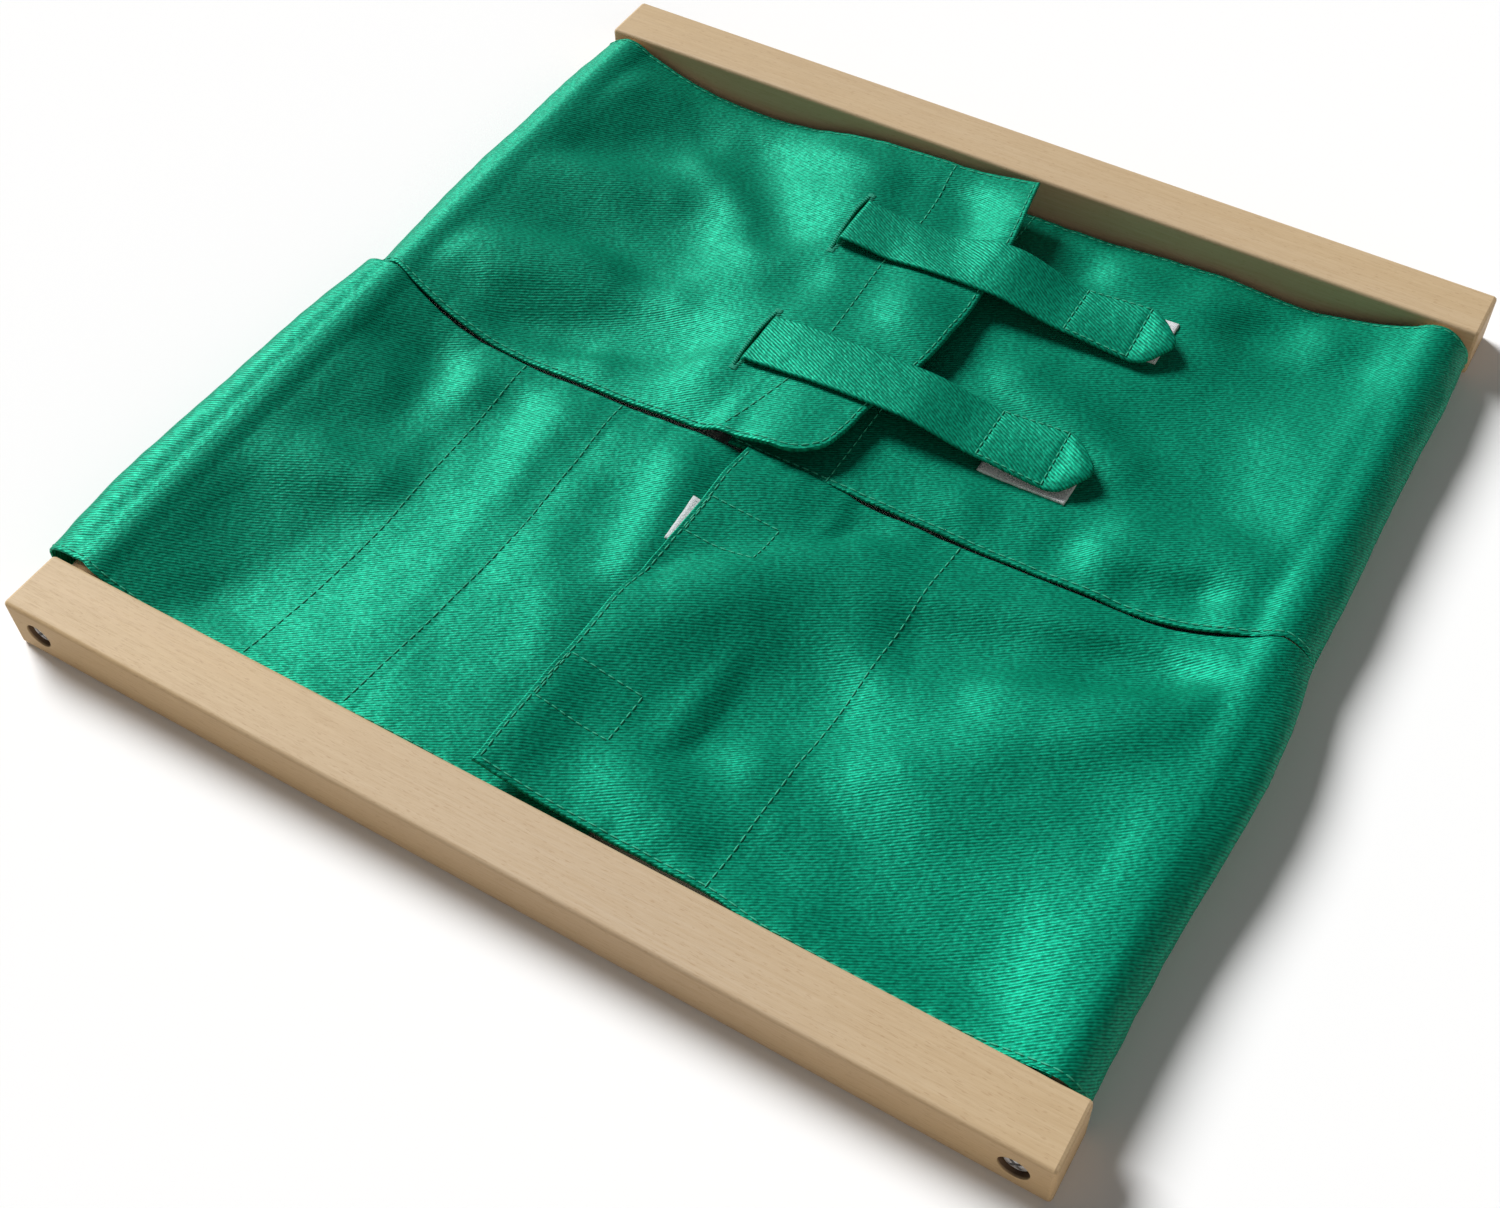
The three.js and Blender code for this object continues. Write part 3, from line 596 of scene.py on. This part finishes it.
upper_right = Panel(
    side=1,
    edge=-0.0205,
    near_y=upper_near_y,
    far_y=hem_far_y,
    seam=upper_near_y,
    facing=0.032,
    sways=[0, 0],
    falls=[
        [0, 0.68, 0.84, 0.86, 0.91, 0.85, 0.82, 0.82],
        [0, 0.51, 0.73, 0.84, 0.9, 0.88, 0.87, 0.87],
        [0, 0.51, 0.72, 0.84, 0.9, 0.92, 0.92, 0.92],
        [0, 0.94, 1.15, 1.08, 1.26, 1.35, 1.36, 1.36],
    ],
    folds=[
        (51, 125, 76, 119, 15.8, 3.5), (84, 58, 121, 106, 15.4, -3), (111, 2, 125, -2, 10.8, 3),
        (91, 108, 109, 43, 14.2, -3), (68, 127, 67, 122, 10.4, -2.9), (115, 24, 93, 5, 10.3, 2.9),
        (116, 114, 113, 131, 9.9, 2.8), (63, 3, 117, 5, 9.6, -2.7), (80, 44, 43, 58, 9.1, 2.6),
        (92, 97, 100, 81, 15, 2.6), (140, -10, 144, 16, 8.9, -2.5), (142, 43, 145, 110, 8.9, 2.5),
        (141, -9, 143, 21, 8.9, -2.5), (37, 113, 39, 132, 8.8, -2.5), (90, -6, 94, 18, 8.8, 2.5),
        (118, -7, 128, 0, 8.8, 2.5), (96, 110, 106, 134, 8.8, -2.5), (51, 5, 69, 6, 8.9, 2.3),
        (117, 5, 102, 4, 8.8, -2.1), (133, 23, 92, 6, 8.8, 1.4),
    ],
    loose=[0.1, 0.18, 0.12, 0.1, 0.18, 0.1],
)
upper_left = Panel(
    side=-1,
    edge=0.0155,
    near_y=upper_near_y,
    far_y=hem_far_y,
    seam=upper_near_y,
    facing=0.0315,
    sways=[-2.2, -1.43, 0.45, 0.77, 0.35, -1.2],
    falls=[
        [0, 0.6, 1.03, 1.11, 0.96, 0.8, 0.17, 0.06],
        [0, 0.51, 0.74, 0.82, 0.6, 0.37, 0.26, 0.21],
        [0, 0.51, 0.7, 0.81, 0.6, 0.37, 0.26, 0.21],
        [0, 0.86, 1.17, 1.09, 0.72, 0.49, 0.36, -0.04],
    ],
    folds=[
        (7, 63, 20, 121, 12.2, 3.3), (-35, 102, -46, 130, 11.7, 3.3), (10, 133, -55, 128, 11.5, 3.2),
        (-69, 26, -98, 92, 21.6, -3), (-9, 119, 14, 74, 10.6, -2.9), (-143, 67, -94, 79, 10.1, 2.8),
        (-106, 46, -59, 76, 11.4, -2.8), (-134, 73, -100, 107, 9.7, -2.7), (-74, -8, -73, 9, 9.6, 2.7),
        (-36, 62, -80, 112, 9.6, -2.7), (-55, 23, -103, 2, 9.1, -2.6), (-68, 70, -44, 69, 8.8, 2.5),
        (-93, 97, -64, 81, 8.8, 2.5), (-100, 1, -64, 23, 8.8, -2.5), (-104, 39, -118, 24, 8.8, 2.5),
        (-118, 26, -93, 40, 8.8, 2.5), (-67, 37, -144, 16, 9.5, 2.3), (-39, -10, -39, 16, 9.7, 2.3),
        (-122, 122, -144, 105, 9, 2.2), (-11, 59, -28, 127, 9, -1.1),
    ],
    loose=[0.15, 0.3, 0.4, 0.35, 0.35, 0.2],
    corner=(-0.0045, 0.00935, 0.014),
    below=upper_right,
)
lower_left = Panel(
    side=-1,
    edge=0.0175,
    near_y=-hem_far_y,
    far_y=lower_far_y,
    seam=lower_far_y,
    facing=0.071,
    sways=[0, 0],
    falls=[
        [0, 0.74, 0.74, 0.58, 0.56, 0.6, 0.74, 0.82],
        [0, 0.76, 0.81, 0.73, 0.66, 0.7, 0.95, 0.98],
        [0, 0.81, 0.82, 0.73, 0.66, 0.7, 1, 1.1],
        [0, 0.78, 1.16, 1.23, 1.11, 0.96, 1.06, 1.25],
    ],
    folds=[
        (-94, -104, -40, -48, 22.2, -3.6), (-83, -18, -96, -128, 14.3, -3.6), (-66, -12, -147, -42, 16.4, 3.5),
        (-115, -20, -84, -52, 13.1, -3.1), (-83, -92, -92, -119, 10, 2.8), (-122, -74, -120, -71, 11.6, 2.7),
        (-88, -99, -86, -23, 9.4, -2.6), (-60, -134, -102, -132, 9.4, -2.6), (-115, -134, -81, -69, 9, -2.5),
        (-19, -54, -28, -7, 8.9, 2.5), (-91, -73, -92, -54, 8.8, 2.5), (-142, -65, -145, -112, 8.8, 2.5),
        (-109, -41, -113, -17, 9.5, -2.4), (-118, -69, -93, -66, 8.8, 2.1), (-133, -24, -130, -38, 9.8, -2),
        (-48, -72, -48, -42, 8.8, 1.6), (-53, -70, -58, -2, 8.8, -1.5), (-42, -103, -58, -107, 16.7, -1.3),
        (-64, -46, -65, -103, 8.8, 0.8), (-18, -94, -41, -62, 8.9, 0.7),
    ],
    loose=[0.78, 1, 0.95, 0.88, 0.8, 0.56],
    drift=(-0.1480, -0.1385, 0.0023),
)
lower_right = Panel(
    side=1,
    edge=-0.015,
    near_y=-hem_far_y,
    far_y=lower_far_y,
    seam=lower_far_y,
    facing=0.069,
    sways=[-0.2, 0.5],
    falls=[
        [0, 0.40, 0.46, 0.46, 0.48, 0.56, 0.42, 0.01],
        [0, 0.2, 0.41, 0.58, 0.7, 0.67, 0.47, 0.36],
        [0, 0.23, 0.51, 0.73, 0.81, 0.72, 0.57, 0.46],
        [0, 0.76, 0.94, 0.99, 1.02, 0.96, 0.77, 0.66],
    ],
    folds=[
        (29, -22, -21, -93, 12.8, 3.6), (26, -119, 31, -124, 13.5, 3.6), (24, -93, 42, -67, 12.1, -3.4),
        (42, -76, 110, -133, 18, -3.3), (90, -46, 115, -39, 11.3, 3.2), (61, -39, 119, -20, 11.2, -3.1),
        (118, -130, 114, -108, 11.1, -2.9), (46, -93, 65, -86, 10.3, 2.9), (78, -78, 130, -27, 10.2, 2.9),
        (-12, -124, -13, -102, 9.1, 2.6), (-17, -18, 9, -2, 9, 2.5), (89, -7, 137, -8, 8.9, 2.5),
        (105, -27, 130, -16, 8.9, -2.5), (24, -16, 28, -10, 8.8, -2.5), (-11, -74, 8, -51, 8.8, 2.5),
        (-9, -56, 27, -10, 9.3, -2.3), (101, -117, 119, -75, 19.1, -2.2), (94, -11, 44, -30, 11.2, 2),
        (51, -124, 60, -118, 9, -2), (59, -108, 110, -72, 9.4, 1.2),
    ],
    loose=[0, 0.04, 0.18, 0.46, 0.5, 0.15],
    drift=(0.048, 0.072, 0.0026),
    below=lower_left,
)

corner_rows = [upper_near_y + step for step in (0.00005, 0.0001)]
slot_rows = [y + end for y in strap_places.values() for end in (-slot_half_length, slot_half_length)]
upper_rows = rows_of(upper_near_y, hem_far_y)
lower_rows = rows_of(-hem_far_y, lower_far_y)
cut_rows = rows_of(upper_near_y, hem_far_y, corner_rows + slot_rows)
hung = (
    (upper_left, "upper_left_flap", cut_rows, list(strap_places.values()), (0.225, 0.147)),
    (upper_right, "upper_right_panel", upper_rows, (), (0.230, 0.147)),
    (lower_left, "lower_left_panel", lower_rows, (), (0.240, 0.137)),
    (lower_right, "lower_right_flap", lower_rows, (), (0.240, 0.137)),
)
cloths = [panel_piece(body + "_cloth", panel, rows, slots) for panel, body, rows, slots, _ in hung]
for piece, (panel, body, _, _, cut) in zip(cloths, hung):
    sleeve = body.rsplit("_", 1)[0] + "_sleeve"
    hang_up(piece)
    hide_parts(body, sleeve)
    low = panel.near_y + panel.rise(panel.side * dowel_x, panel.near_y)
    high = panel.far_y + panel.rise(panel.side * dowel_x, panel.far_y)
    lining = inner_sleeve(sleeve + "_inner_half", panel, low, high)


# The seams are sewn with a lighter green polyester thread. Each stitch is a short raised spindle of thread that
# dips into the cloth at both ends. The seed lays the stitches alike in every run.
def thread_finish(name, dark, bright):
    finish, tree, surface = start_finish(name, Roughness=0.7, Specular_IOR_Level=0.08)
    twist = speckle(tree, own_place(tree), (2600, 2600, 2600), 1)
    feed(tree, surface, Base_Color=tint(tree, twist, dark, bright), Normal=relief_of(tree, twist, 0.5, 0.00008))
    return finish


noise.seed_set(1)
square_pitch = 0.0026
sewing_thread = thread_finish("sewing thread", (0.02, 0.30, 0.17, 1), (0.08, 0.55, 0.37, 1))


def on_cloth(panel, x, y):
    """Points on a panel's upper side, and the way the cloth faces there."""
    nudge = 0.0004
    slope_x = panel.upper(x + nudge, y) - panel.upper(x - nudge, y)
    slope_y = panel.upper(x, y + nudge) - panel.upper(x, y - nudge)
    facing = np.cross(slope_x, slope_y)
    return panel.upper(x, y), facing / np.linalg.norm(facing, axis=-1, keepdims=True)


def lay_stitch(seam, start, end, facing, radius):
    """One stitch, a spindle of thread half sunk in the cloth."""
    start, end, facing = Vector(start), Vector(end), Vector(facing)
    run = (end - start) / 2
    across = run.cross(facing).normalized() * radius
    lift = facing.normalized() * radius
    frame_of_stitch = Matrix((across, lift, run)).transposed().to_4x4()
    place = Matrix.Translation((start + end) / 2 + lift * 0.5) @ frame_of_stitch
    bmesh.ops.create_uvsphere(seam, u_segments=6, v_segments=5, radius=1, matrix=place)


def add_run(seam, run):
    """A short run of stitches is made apart and then joined on, because that is much quicker."""
    mesh = bpy.data.meshes.new("run of stitches")
    run.to_mesh(mesh)
    run.free()
    seam.from_mesh(mesh)
    bpy.data.meshes.remove(mesh)


def sew(seam, line, pitch=0.0031, gap=0.0006, radius=0.00024):
    """A run of stitches along a line of points that comes with the way the cloth faces."""
    points, facings = line
    lengths = np.concatenate([[0], np.cumsum(np.linalg.norm(np.diff(points, axis=0), axis=1))])
    count = max(1, round(lengths[-1] / pitch))
    at = lambda values, where: np.array([np.interp(where, lengths, values[:, k]) for k in range(3)])
    run = bmesh.new()
    for k in range(count):
        first, last = lengths[-1] * k / count + gap / 2, lengths[-1] * (k + 1) / count - gap / 2
        wander = 0.00005 * noise.noise_vector(Vector(points[0]) * 900 + Vector((k * 1.7, 0, 0)))
        start, end = Vector(at(points, first)) + wander, Vector(at(points, last)) - wander
        lay_stitch(run, start, end, at(facings, (first + last) / 2), radius)
    add_run(seam, run)


def finish_seam(name, seam, finish=sewing_thread):
    bmesh.ops.recalc_face_normals(seam, faces=seam.faces[:])
    for face in seam.faces:
        face.smooth = True
    return put_in(name, seam, finish)


def hem_line(panel, row, from_x):
    """A hem's seam from a place on the panel over the crest and down the sleeve's outer side."""
    xs = np.linspace(from_x, panel.side * (dowel_x - 0.0006), 150)
    points, facings = on_cloth(panel, xs, row + panel.rise(xs, row))
    angles = np.linspace(0, 2.7, 40)
    rows = np.full(40, row + panel.rise(panel.side * dowel_x, row))
    middles, outward = panel.sleeve(angles, rows)
    points = np.concatenate([points, middles + outward * cloth_thickness / 2])
    return points, np.concatenate([facings, outward])


def cloth_line(panel, places, count=120):
    """A seam through a few named places on a panel."""
    places = np.array(places)
    lengths = np.concatenate([[0], np.cumsum(np.linalg.norm(np.diff(places, axis=0), axis=1))])
    where = np.linspace(0, lengths[-1], count)
    return on_cloth(panel, np.interp(where, lengths, places[:, 0]), np.interp(where, lengths, places[:, 1]))


def edge_places(panel, low_y, high_y, inset, count=60):
    ys = np.linspace(low_y, high_y, count)
    return [(float(panel.free_edge(y)) + panel.side * inset, float(y)) for y in ys]


def box_seam(seam, panel, low_x, low_y, high_x, high_y):
    """The stitched square that shows where a patch is sewn on below."""
    corners = [(low_x, high_y), (high_x, high_y), (high_x, low_y), (low_x, low_y)]
    for first, last in zip(corners, corners[1:] + corners[:1]):
        sew(seam, cloth_line(panel, [first, last], 20), pitch=square_pitch)


def sew_panel(body, panel, lines, squares=()):
    """All the stitches of a panel, as one piece."""
    seam = bmesh.new()
    for line in lines:
        sew(seam, line)
    for square in squares:
        box_seam(seam, panel, *square)
    hang_up(finish_seam(body + "_threads", seam))


corner_x, corner_y, corner_radius = upper_left.corner
turn = np.linspace(0, -math.pi / 2, 14)
stitched = corner_radius - hem_stitch
rounding = [(corner_x + stitched * math.cos(a), corner_y + stitched * math.sin(a)) for a in turn]
edge = edge_places(upper_left, corner_y, upper_left.far_y - hem_stitch, hem_stitch)
edge[0] = rounding[0]
facing_line = [(-0.017, 0.131), (-0.0143, 0.104), (-0.0158, 0.079), (-0.014, 0.044)]
facing_line += [(-0.0155, 0.021), (-0.0232, -0.002)]
sew_panel("upper_left_flap", upper_left, [
    cloth_line(upper_left, edge[::-1] + rounding[1:], 300),
    hem_line(upper_left, upper_left.near_y + hem_stitch, corner_x),
    hem_line(upper_left, upper_left.far_y - hem_stitch, upper_left.edge - 0.007),
    cloth_line(upper_left, facing_line),
])

edge = edge_places(upper_right, upper_near_y + hem_stitch, hem_far_y - hem_stitch, hem_stitch)
sew_panel("upper_right_panel", upper_right, [
    cloth_line(upper_right, edge),
    cloth_line(upper_right, edge_places(upper_right, upper_near_y, hem_far_y, upper_right.facing)),
    hem_line(upper_right, upper_near_y + hem_stitch, upper_right.edge + hem_stitch),
    hem_line(upper_right, hem_far_y - hem_stitch, upper_right.edge + hem_stitch),
])

edge = edge_places(lower_left, hem_stitch - hem_far_y, lower_far_y - hem_stitch, hem_stitch)
sew_panel("lower_left_panel", lower_left, [
    cloth_line(lower_left, edge),
    hem_line(lower_left, hem_stitch - hem_far_y, lower_left.edge - hem_stitch),
    cloth_line(lower_left, [(-0.0562, -0.0055), (-0.0534, -0.059), (-0.0555, -0.102), (-0.0577, -0.1318)]),
    cloth_line(lower_left, [(-0.0908, -0.0052), (-0.0885, -0.077), (-0.0916, -0.1318)]),
])

edge = edge_places(lower_right, hem_stitch - hem_far_y, lower_far_y - hem_stitch, hem_stitch)
stitched_squares = [(-0.012, -0.041, 0.0098, -0.027), (-0.013, -0.109, 0.0085, -0.093)]
sew_panel("lower_right_flap", lower_right, [
    cloth_line(lower_right, edge),
    hem_line(lower_right, hem_stitch - hem_far_y, lower_right.edge + hem_stitch),
    cloth_line(lower_right, [(0.0545, -0.0055), (0.0531, -0.058), (0.0520, -0.093), (0.0510, -0.1318)]),
], stitched_squares)


# Both slots are worked round with close satin stitches like a buttonhole, and each end has a bar of stitches.
half_of_stitches = 14
seam = bmesh.new()
for slot_y in strap_places.values():
    run = bmesh.new()
    for k in range(-half_of_stitches, half_of_stitches + 1):
        y = slot_y + k * slot_half_length / half_of_stitches
        bowed = 1 - (k / half_of_stitches) ** 2
        for lip, way in ((slot_x - (slot_half_width + 0.0003) * bowed, -1), (slot_x + slot_half_width * bowed, 1)):
            xs = np.array([lip - way * 0.0001, lip + way * (0.0012 + 0.0003 * (k % 2))])
            points, facings = on_cloth(upper_left, xs, np.array([y - 0.0003, y + 0.0003]))
            lay_stitch(run, points[0], points[1], facings[0], 0.00027)
    for end in (-1, 1):
        for k in range(3):
            y = slot_y + end * (slot_half_length + 0.0003 + k * 0.00045)
            points, facings = on_cloth(upper_left, np.array([slot_x - 0.0015, slot_x + 0.0013]), np.array([y, y]))
            lay_stitch(run, points[0], points[1], facings[0], 0.00028)
    add_run(seam, run)
slot_thread = thread_finish("slot thread", (0.006, 0.17, 0.10, 1), (0.06, 0.50, 0.34, 1))
slot_stitching = finish_seam("slot_stitching", seam, slot_thread)
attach(slot_stitching, "upper_left_flap")


# The straps are satin tubes pressed flat, sewn down under the flap and drawn up through its slots. They cross the
# flap's edge and end in a padded point, behind a stitched square that holds the hook patch.
strap_satin = satin_finish("strap satin", 0.00090, math.radians(27.5), 0.0002)
strap_thickness = 0.0012
strap_half_width = 0.010
strap_root_x = -0.052
strap_square_x = 0.0446
strap_seat_x = 0.045
strap_stitch_x = 0.065
strap_end_x = 0.0764
strap_raised = 0.0013
far_outline = [0.0100, 0.0096, 0.0086, 0.0057, 0.0027, 0.0014, 0.0004]
near_outline = [-0.0100, -0.0097, -0.0091, -0.0067, -0.0036, -0.0022, -0.0012]


def strap_height(middle_y):
    """The height of a strap's middle surface over the flap, the step down from it and the patch."""
    across = np.linspace(middle_y - strap_half_width, middle_y + strap_half_width, 9)
    root_z = upper_left.lie(np.full(9, -0.032), across).max() + strap_raised
    patch_z = upper_right.lie(np.full(9, 0.055), across).mean() + 0.0036 + strap_raised

    def height(x, y):
        # Under the flap as far as the slot, over it as far as its edge, and from there down to the patch.
        above = np.minimum(x, upper_left.edge)
        flap_z = np.mean([upper_left.lie(above + step, y) for step in (-0.004, 0, 0.004)], axis=0)
        flap_z = flap_z + 0.0004 * ease(x, -0.030, -0.020)
        under_z = upper_left.lie(x, y) - cloth_thickness / 2 - 0.0003 - strap_thickness / 2
        excess = root_z - upper_left.lie(np.full(y.shape, -0.032), y) - strap_raised
        over_z = flap_z + strap_raised + excess * (1 - ease(x, -0.032, -0.012))
        z = under_z + (over_z - under_z) * ease(x, -0.0328, -0.0310)
        z = z + (patch_z - z) * ease(x, 0.0195, strap_seat_x)
        # The point lifts, the strap twists a little towards it, and its middle bows up.
        z = z + 0.0008 * ease(x, strap_stitch_x, strap_end_x)
        z = z + 0.0021 * ease(x, 0.040, 0.068) * (y - middle_y) / strap_half_width
        return z + 0.0003 * (1 - ((y - middle_y) / strap_half_width) ** 2) * ease(x, -0.030, -0.010)

    return height


def strap_sides(x):
    """The two sides of a strap, level until its point, which is blunt and hangs to the near side."""
    far_side = np.interp(x, [0.0652, 0.0668, 0.0684, 0.0720, 0.0750, 0.0760, strap_end_x], far_outline)
    near_side = np.interp(x, [0.0668, 0.0685, 0.0702, 0.0728, 0.0750, 0.0760, strap_end_x], near_outline)
    return far_side, near_side


def strap_piece(name, middle_y):
    """A strap as a flat tube of satin with rounded sides, a padded point and a groove at each seam of its square."""
    height = strap_height(middle_y)
    marks = [strap_root_x, strap_root_x + 0.0005, -0.0335, -0.0328, -0.0324, -0.0319, -0.0314, -0.0310, -0.0300]
    marks += [seam_x + step for seam_x in (strap_square_x, strap_stitch_x) for step in (-0.0006, 0, 0.0006)]
    marks += [0.0745, 0.0756, 0.0761, strap_end_x]
    xs = spaced(marks, 0.0006)
    shares = np.sin(np.linspace(-math.pi / 2, math.pi / 2, 31))
    x, share = np.meshgrid(xs, shares, indexing="ij")
    far_side, near_side = strap_sides(x)
    y = middle_y + (far_side + near_side) / 2 + share * (far_side - near_side) / 2
    z = height(x, y)
    middle = np.stack([x, y, z], -1)
    facing = np.cross(np.gradient(middle, axis=0), np.gradient(middle, axis=1))
    facing /= np.linalg.norm(facing, axis=-1, keepdims=True)
    from_edge = np.minimum((1 - np.abs(share)) * (far_side - near_side) / 2, strap_end_x - x)
    half = strap_thickness / 2 * np.sqrt(1 - np.clip(1 - from_edge / 0.0007, 0, 0.97) ** 2)
    pad = ease(x, strap_stitch_x, strap_stitch_x + 0.005) * ease(from_edge, -0.0002, 0.0035)
    square = ease(x, strap_seat_x - 0.0005, strap_seat_x + 0.002) * (1 - ease(x, 0.063, strap_stitch_x))
    upper_half = half + 0.0005 * pad + 0.0001 * square * ease(from_edge, 0.0012, 0.004)
    for seam_x in (strap_square_x, strap_stitch_x):
        upper_half = upper_half - 0.00015 * np.exp(-(((x - seam_x) / 0.0005) ** 2))
    wrinkles = 0.00012 * crumple(x, y, 0.005, middle_y * 100) * ease(from_edge, 0, 0.002)
    upper_half = upper_half + wrinkles
    lower_half = half + 0.0004 * pad
    uv = np.stack([x, y], -1)
    upper = middle + facing * upper_half[..., None]
    lower = middle - facing * lower_half[..., None]
    return make_sheet(name, upper, lower, uv, strap_satin), height, lambda x, y: height(x, y) + strap_thickness / 2


def strap_line(cover, places, count=24):
    """A seam through a few places on a strap's upper side."""
    places = np.array(places)
    where = np.linspace(0, 1, count)
    steps = np.linspace(0, 1, len(places))
    x, y = np.interp(where, steps, places[:, 0]), np.interp(where, steps, places[:, 1])
    points = np.stack([x, y, cover(x, y)], -1)
    return points, np.tile([0.0, 0.0, 1.0], (count, 1))


strap_heights = {}
for which, strap_y in strap_places.items():
    body = which + "_strap"
    piece, strap_heights[which], cover = strap_piece(body + "_cloth", strap_y)
    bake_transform(piece)
    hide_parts(body, body + "_root")
    seam = bmesh.new()
    left, right, low, high = strap_square_x, strap_stitch_x, strap_y - 0.0091, strap_y + 0.0091
    for first, last in (
        ((left, low - 0.0006), (left, high + 0.0006)),
        ((left, high), (right, high)),
        ((right, high + 0.0006), (right, low - 0.0006)),
        ((right, low), (left, low)),
    ):
        sew(seam, strap_line(cover, [first, last]), pitch=square_pitch)
    threads = finish_seam(body + "_threads", seam)
    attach(threads, body)


# The closures are sewn-on patches of hook-and-loop tape: the loop side white and fuzzy, the hook side pale grey
# and bristly. One of each pair is on the strap or flap and the other on the panel below.
loop_tape, tree, surface = start_finish("loop tape", Roughness=0.9, Sheen_Weight=0.5, Sheen_Roughness=0.6)
fluff = speckle(tree, own_place(tree), (2200, 2200, 2200), 4, 0.7)
color = tint(tree, ramp(tree, fluff, 0.3, 0.65), (0.55, 0.58, 0.60, 1), (0.86, 0.88, 0.90, 1))
feed(tree, surface, Base_Color=color, Normal=relief_of(tree, fluff, 1.0, 0.0004))
hook_tape, tree, surface = start_finish("hook tape", Roughness=0.55)
bristles = add(tree, "ShaderNodeTexVoronoi", None, Vector=own_place(tree), Scale=1300.0, Randomness=0.5)
bristles = bristles.outputs["Distance"]
color = tint(tree, ramp(tree, bristles, 0.1, 0.5), (0.62, 0.64, 0.64, 1), (0.30, 0.33, 0.32, 1))
standing = sum_up(tree, "SUBTRACT", 1.0, bristles)
feed(tree, surface, Base_Color=color, Normal=relief_of(tree, standing, 0.9, 0.0003))


tapes = {"hook": (hook_tape, -1), "loop": (loop_tape, 1)}


def patch_piece(closure, tape, body, x_range, y_range, surface_of, lean=0.0):
    """A patch of tape that follows the cloth it is sewn to. Hooks face down below it and loops face up on it."""
    finish, way = tapes[tape]
    xs, ys = [spaced([low, low + 0.0003, high - 0.0003, high], 0.0011) for low, high in (x_range, y_range)]
    y, x = np.meshgrid(ys, xs, indexing="ij")
    ends = np.minimum(np.minimum(x - xs[0], xs[-1] - x), np.minimum(y - ys[0], ys[-1] - y))
    x = x + lean * (ys[-1] - y)
    close = surface_of(x, y) + way * 0.00006
    open_side = close + way * (0.00085 - rolled(ends, 0.0003))
    ragged = 0.00015 * crumple(x, y, 0.0012, 3.0) * (ends < 0.00001)
    first, second = (open_side, close) if way > 0 else (close, open_side)
    upper, lower = np.stack([x + ragged, y + ragged, first], -1), np.stack([x + ragged, y + ragged, second], -1)
    piece = make_sheet(f"{closure}_{tape}s", upper, lower, np.stack([x, y], -1), finish)
    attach(piece, body)
    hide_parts(f"{closure}_{tape}_patch")


for which, strap_y in strap_places.items():
    strap, height = which + "_strap", strap_heights[which]
    loops_low, loops_high = {"upper": (-0.0055, 0.0130), "lower": (-0.0106, 0.0045)}[which]
    under_strap = lambda x, y, height=height: height(x, y) - strap_thickness / 2
    over_panel = lambda x, y: upper_right.height(x, y) + cloth_thickness / 2
    patch_piece(strap, "hook", strap, (0.045, 0.065), (strap_y - 0.009, strap_y + 0.009), under_strap)
    loops_range = (strap_y + loops_low, strap_y + loops_high)
    patch_piece(strap, "loop", "upper_right_panel", (0.046, 0.073), loops_range, over_panel)

lower_depth = lower_far_y + hem_far_y
for which, share in (("far", 0.773), ("near", 0.25)):
    closure = which + "_closure"
    closure_y = -hem_far_y + share * lower_depth
    under_flap = lambda x, y: lower_right.height(x, y) - cloth_thickness / 2 - ply * 2
    over_panel = lambda x, y: lower_left.height(x, y) + cloth_thickness / 2
    hooks_range = (closure_y - 0.0075, closure_y + 0.0075)
    patch_piece(closure, "hook", "lower_right_flap", (-0.012, 0.009), hooks_range, under_flap)
    loops_range = (closure_y - 0.0105, closure_y + 0.0065)
    patch_piece(closure, "loop", "lower_left_panel", (-0.0176, 0.0035), loops_range, over_panel, lean=0.07)


# The floor is a plain pale sheet that carries on out of sight. It looks white where the light reaches it and it
# throws little light back, and the room around it is plain white.
floor_finish, tree, surface = start_finish("floor", Roughness=1.0, Specular_IOR_Level=0.0)
seen = add(tree, "ShaderNodeLightPath").outputs
looked_at = sum_up(tree, "MAXIMUM", seen["Is Camera Ray"], seen["Is Glossy Ray"])
looked_at = sum_up(tree, "MAXIMUM", looked_at, seen["Is Transmission Ray"])
feed(tree, surface, Base_Color=tint(tree, looked_at, (0.86, 0.77, 0.64, 1), (0.97, 0.97, 0.97, 1)))
ground = bmesh.new()
bmesh.ops.create_grid(ground, x_segments=4, y_segments=4, size=6)
put_in("floor", ground, floor_finish)

world = bpy.data.worlds.new("room")
bpy.context.scene.world = world
world.use_nodes = True
tree = world.node_tree
seen = add(tree, "ShaderNodeLightPath").outputs
looked_at = sum_up(tree, "MAXIMUM", seen["Is Camera Ray"], seen["Is Transmission Ray"])
color = tint(tree, looked_at, (0.95, 0.98, 1.0, 1), (1, 1, 1, 1))
feed(tree, tree.nodes["Background"], Color=color, Strength=sum_up(tree, "MULTIPLY_ADD", looked_at, 0.91, 0.09))


# A broad, soft light shines from the far left, and a weak, warm one fills in low from the near right, where the
# rail's outer face and the right end would be too dark.
def hang_lamp(name, toward, strength, spread, color=(1, 1, 1)):
    light = bpy.data.lights.new(name, "SUN")
    light.energy = strength
    light.angle = math.radians(spread)
    light.color = color
    lamp = bpy.data.objects.new(name, light)
    lamp.rotation_euler = (-Vector(toward)).to_track_quat("-Z", "Y").to_euler()
    bpy.context.collection.objects.link(lamp)


hang_lamp("side light", (-0.7405, 0.2695, 0.6157), 4.5, 24)
hang_lamp("front light", (0.78, -0.60, 0.20), 0.85, 60, (1.0, 0.90, 0.80))

bpy.context.scene.view_settings.view_transform = "Standard"
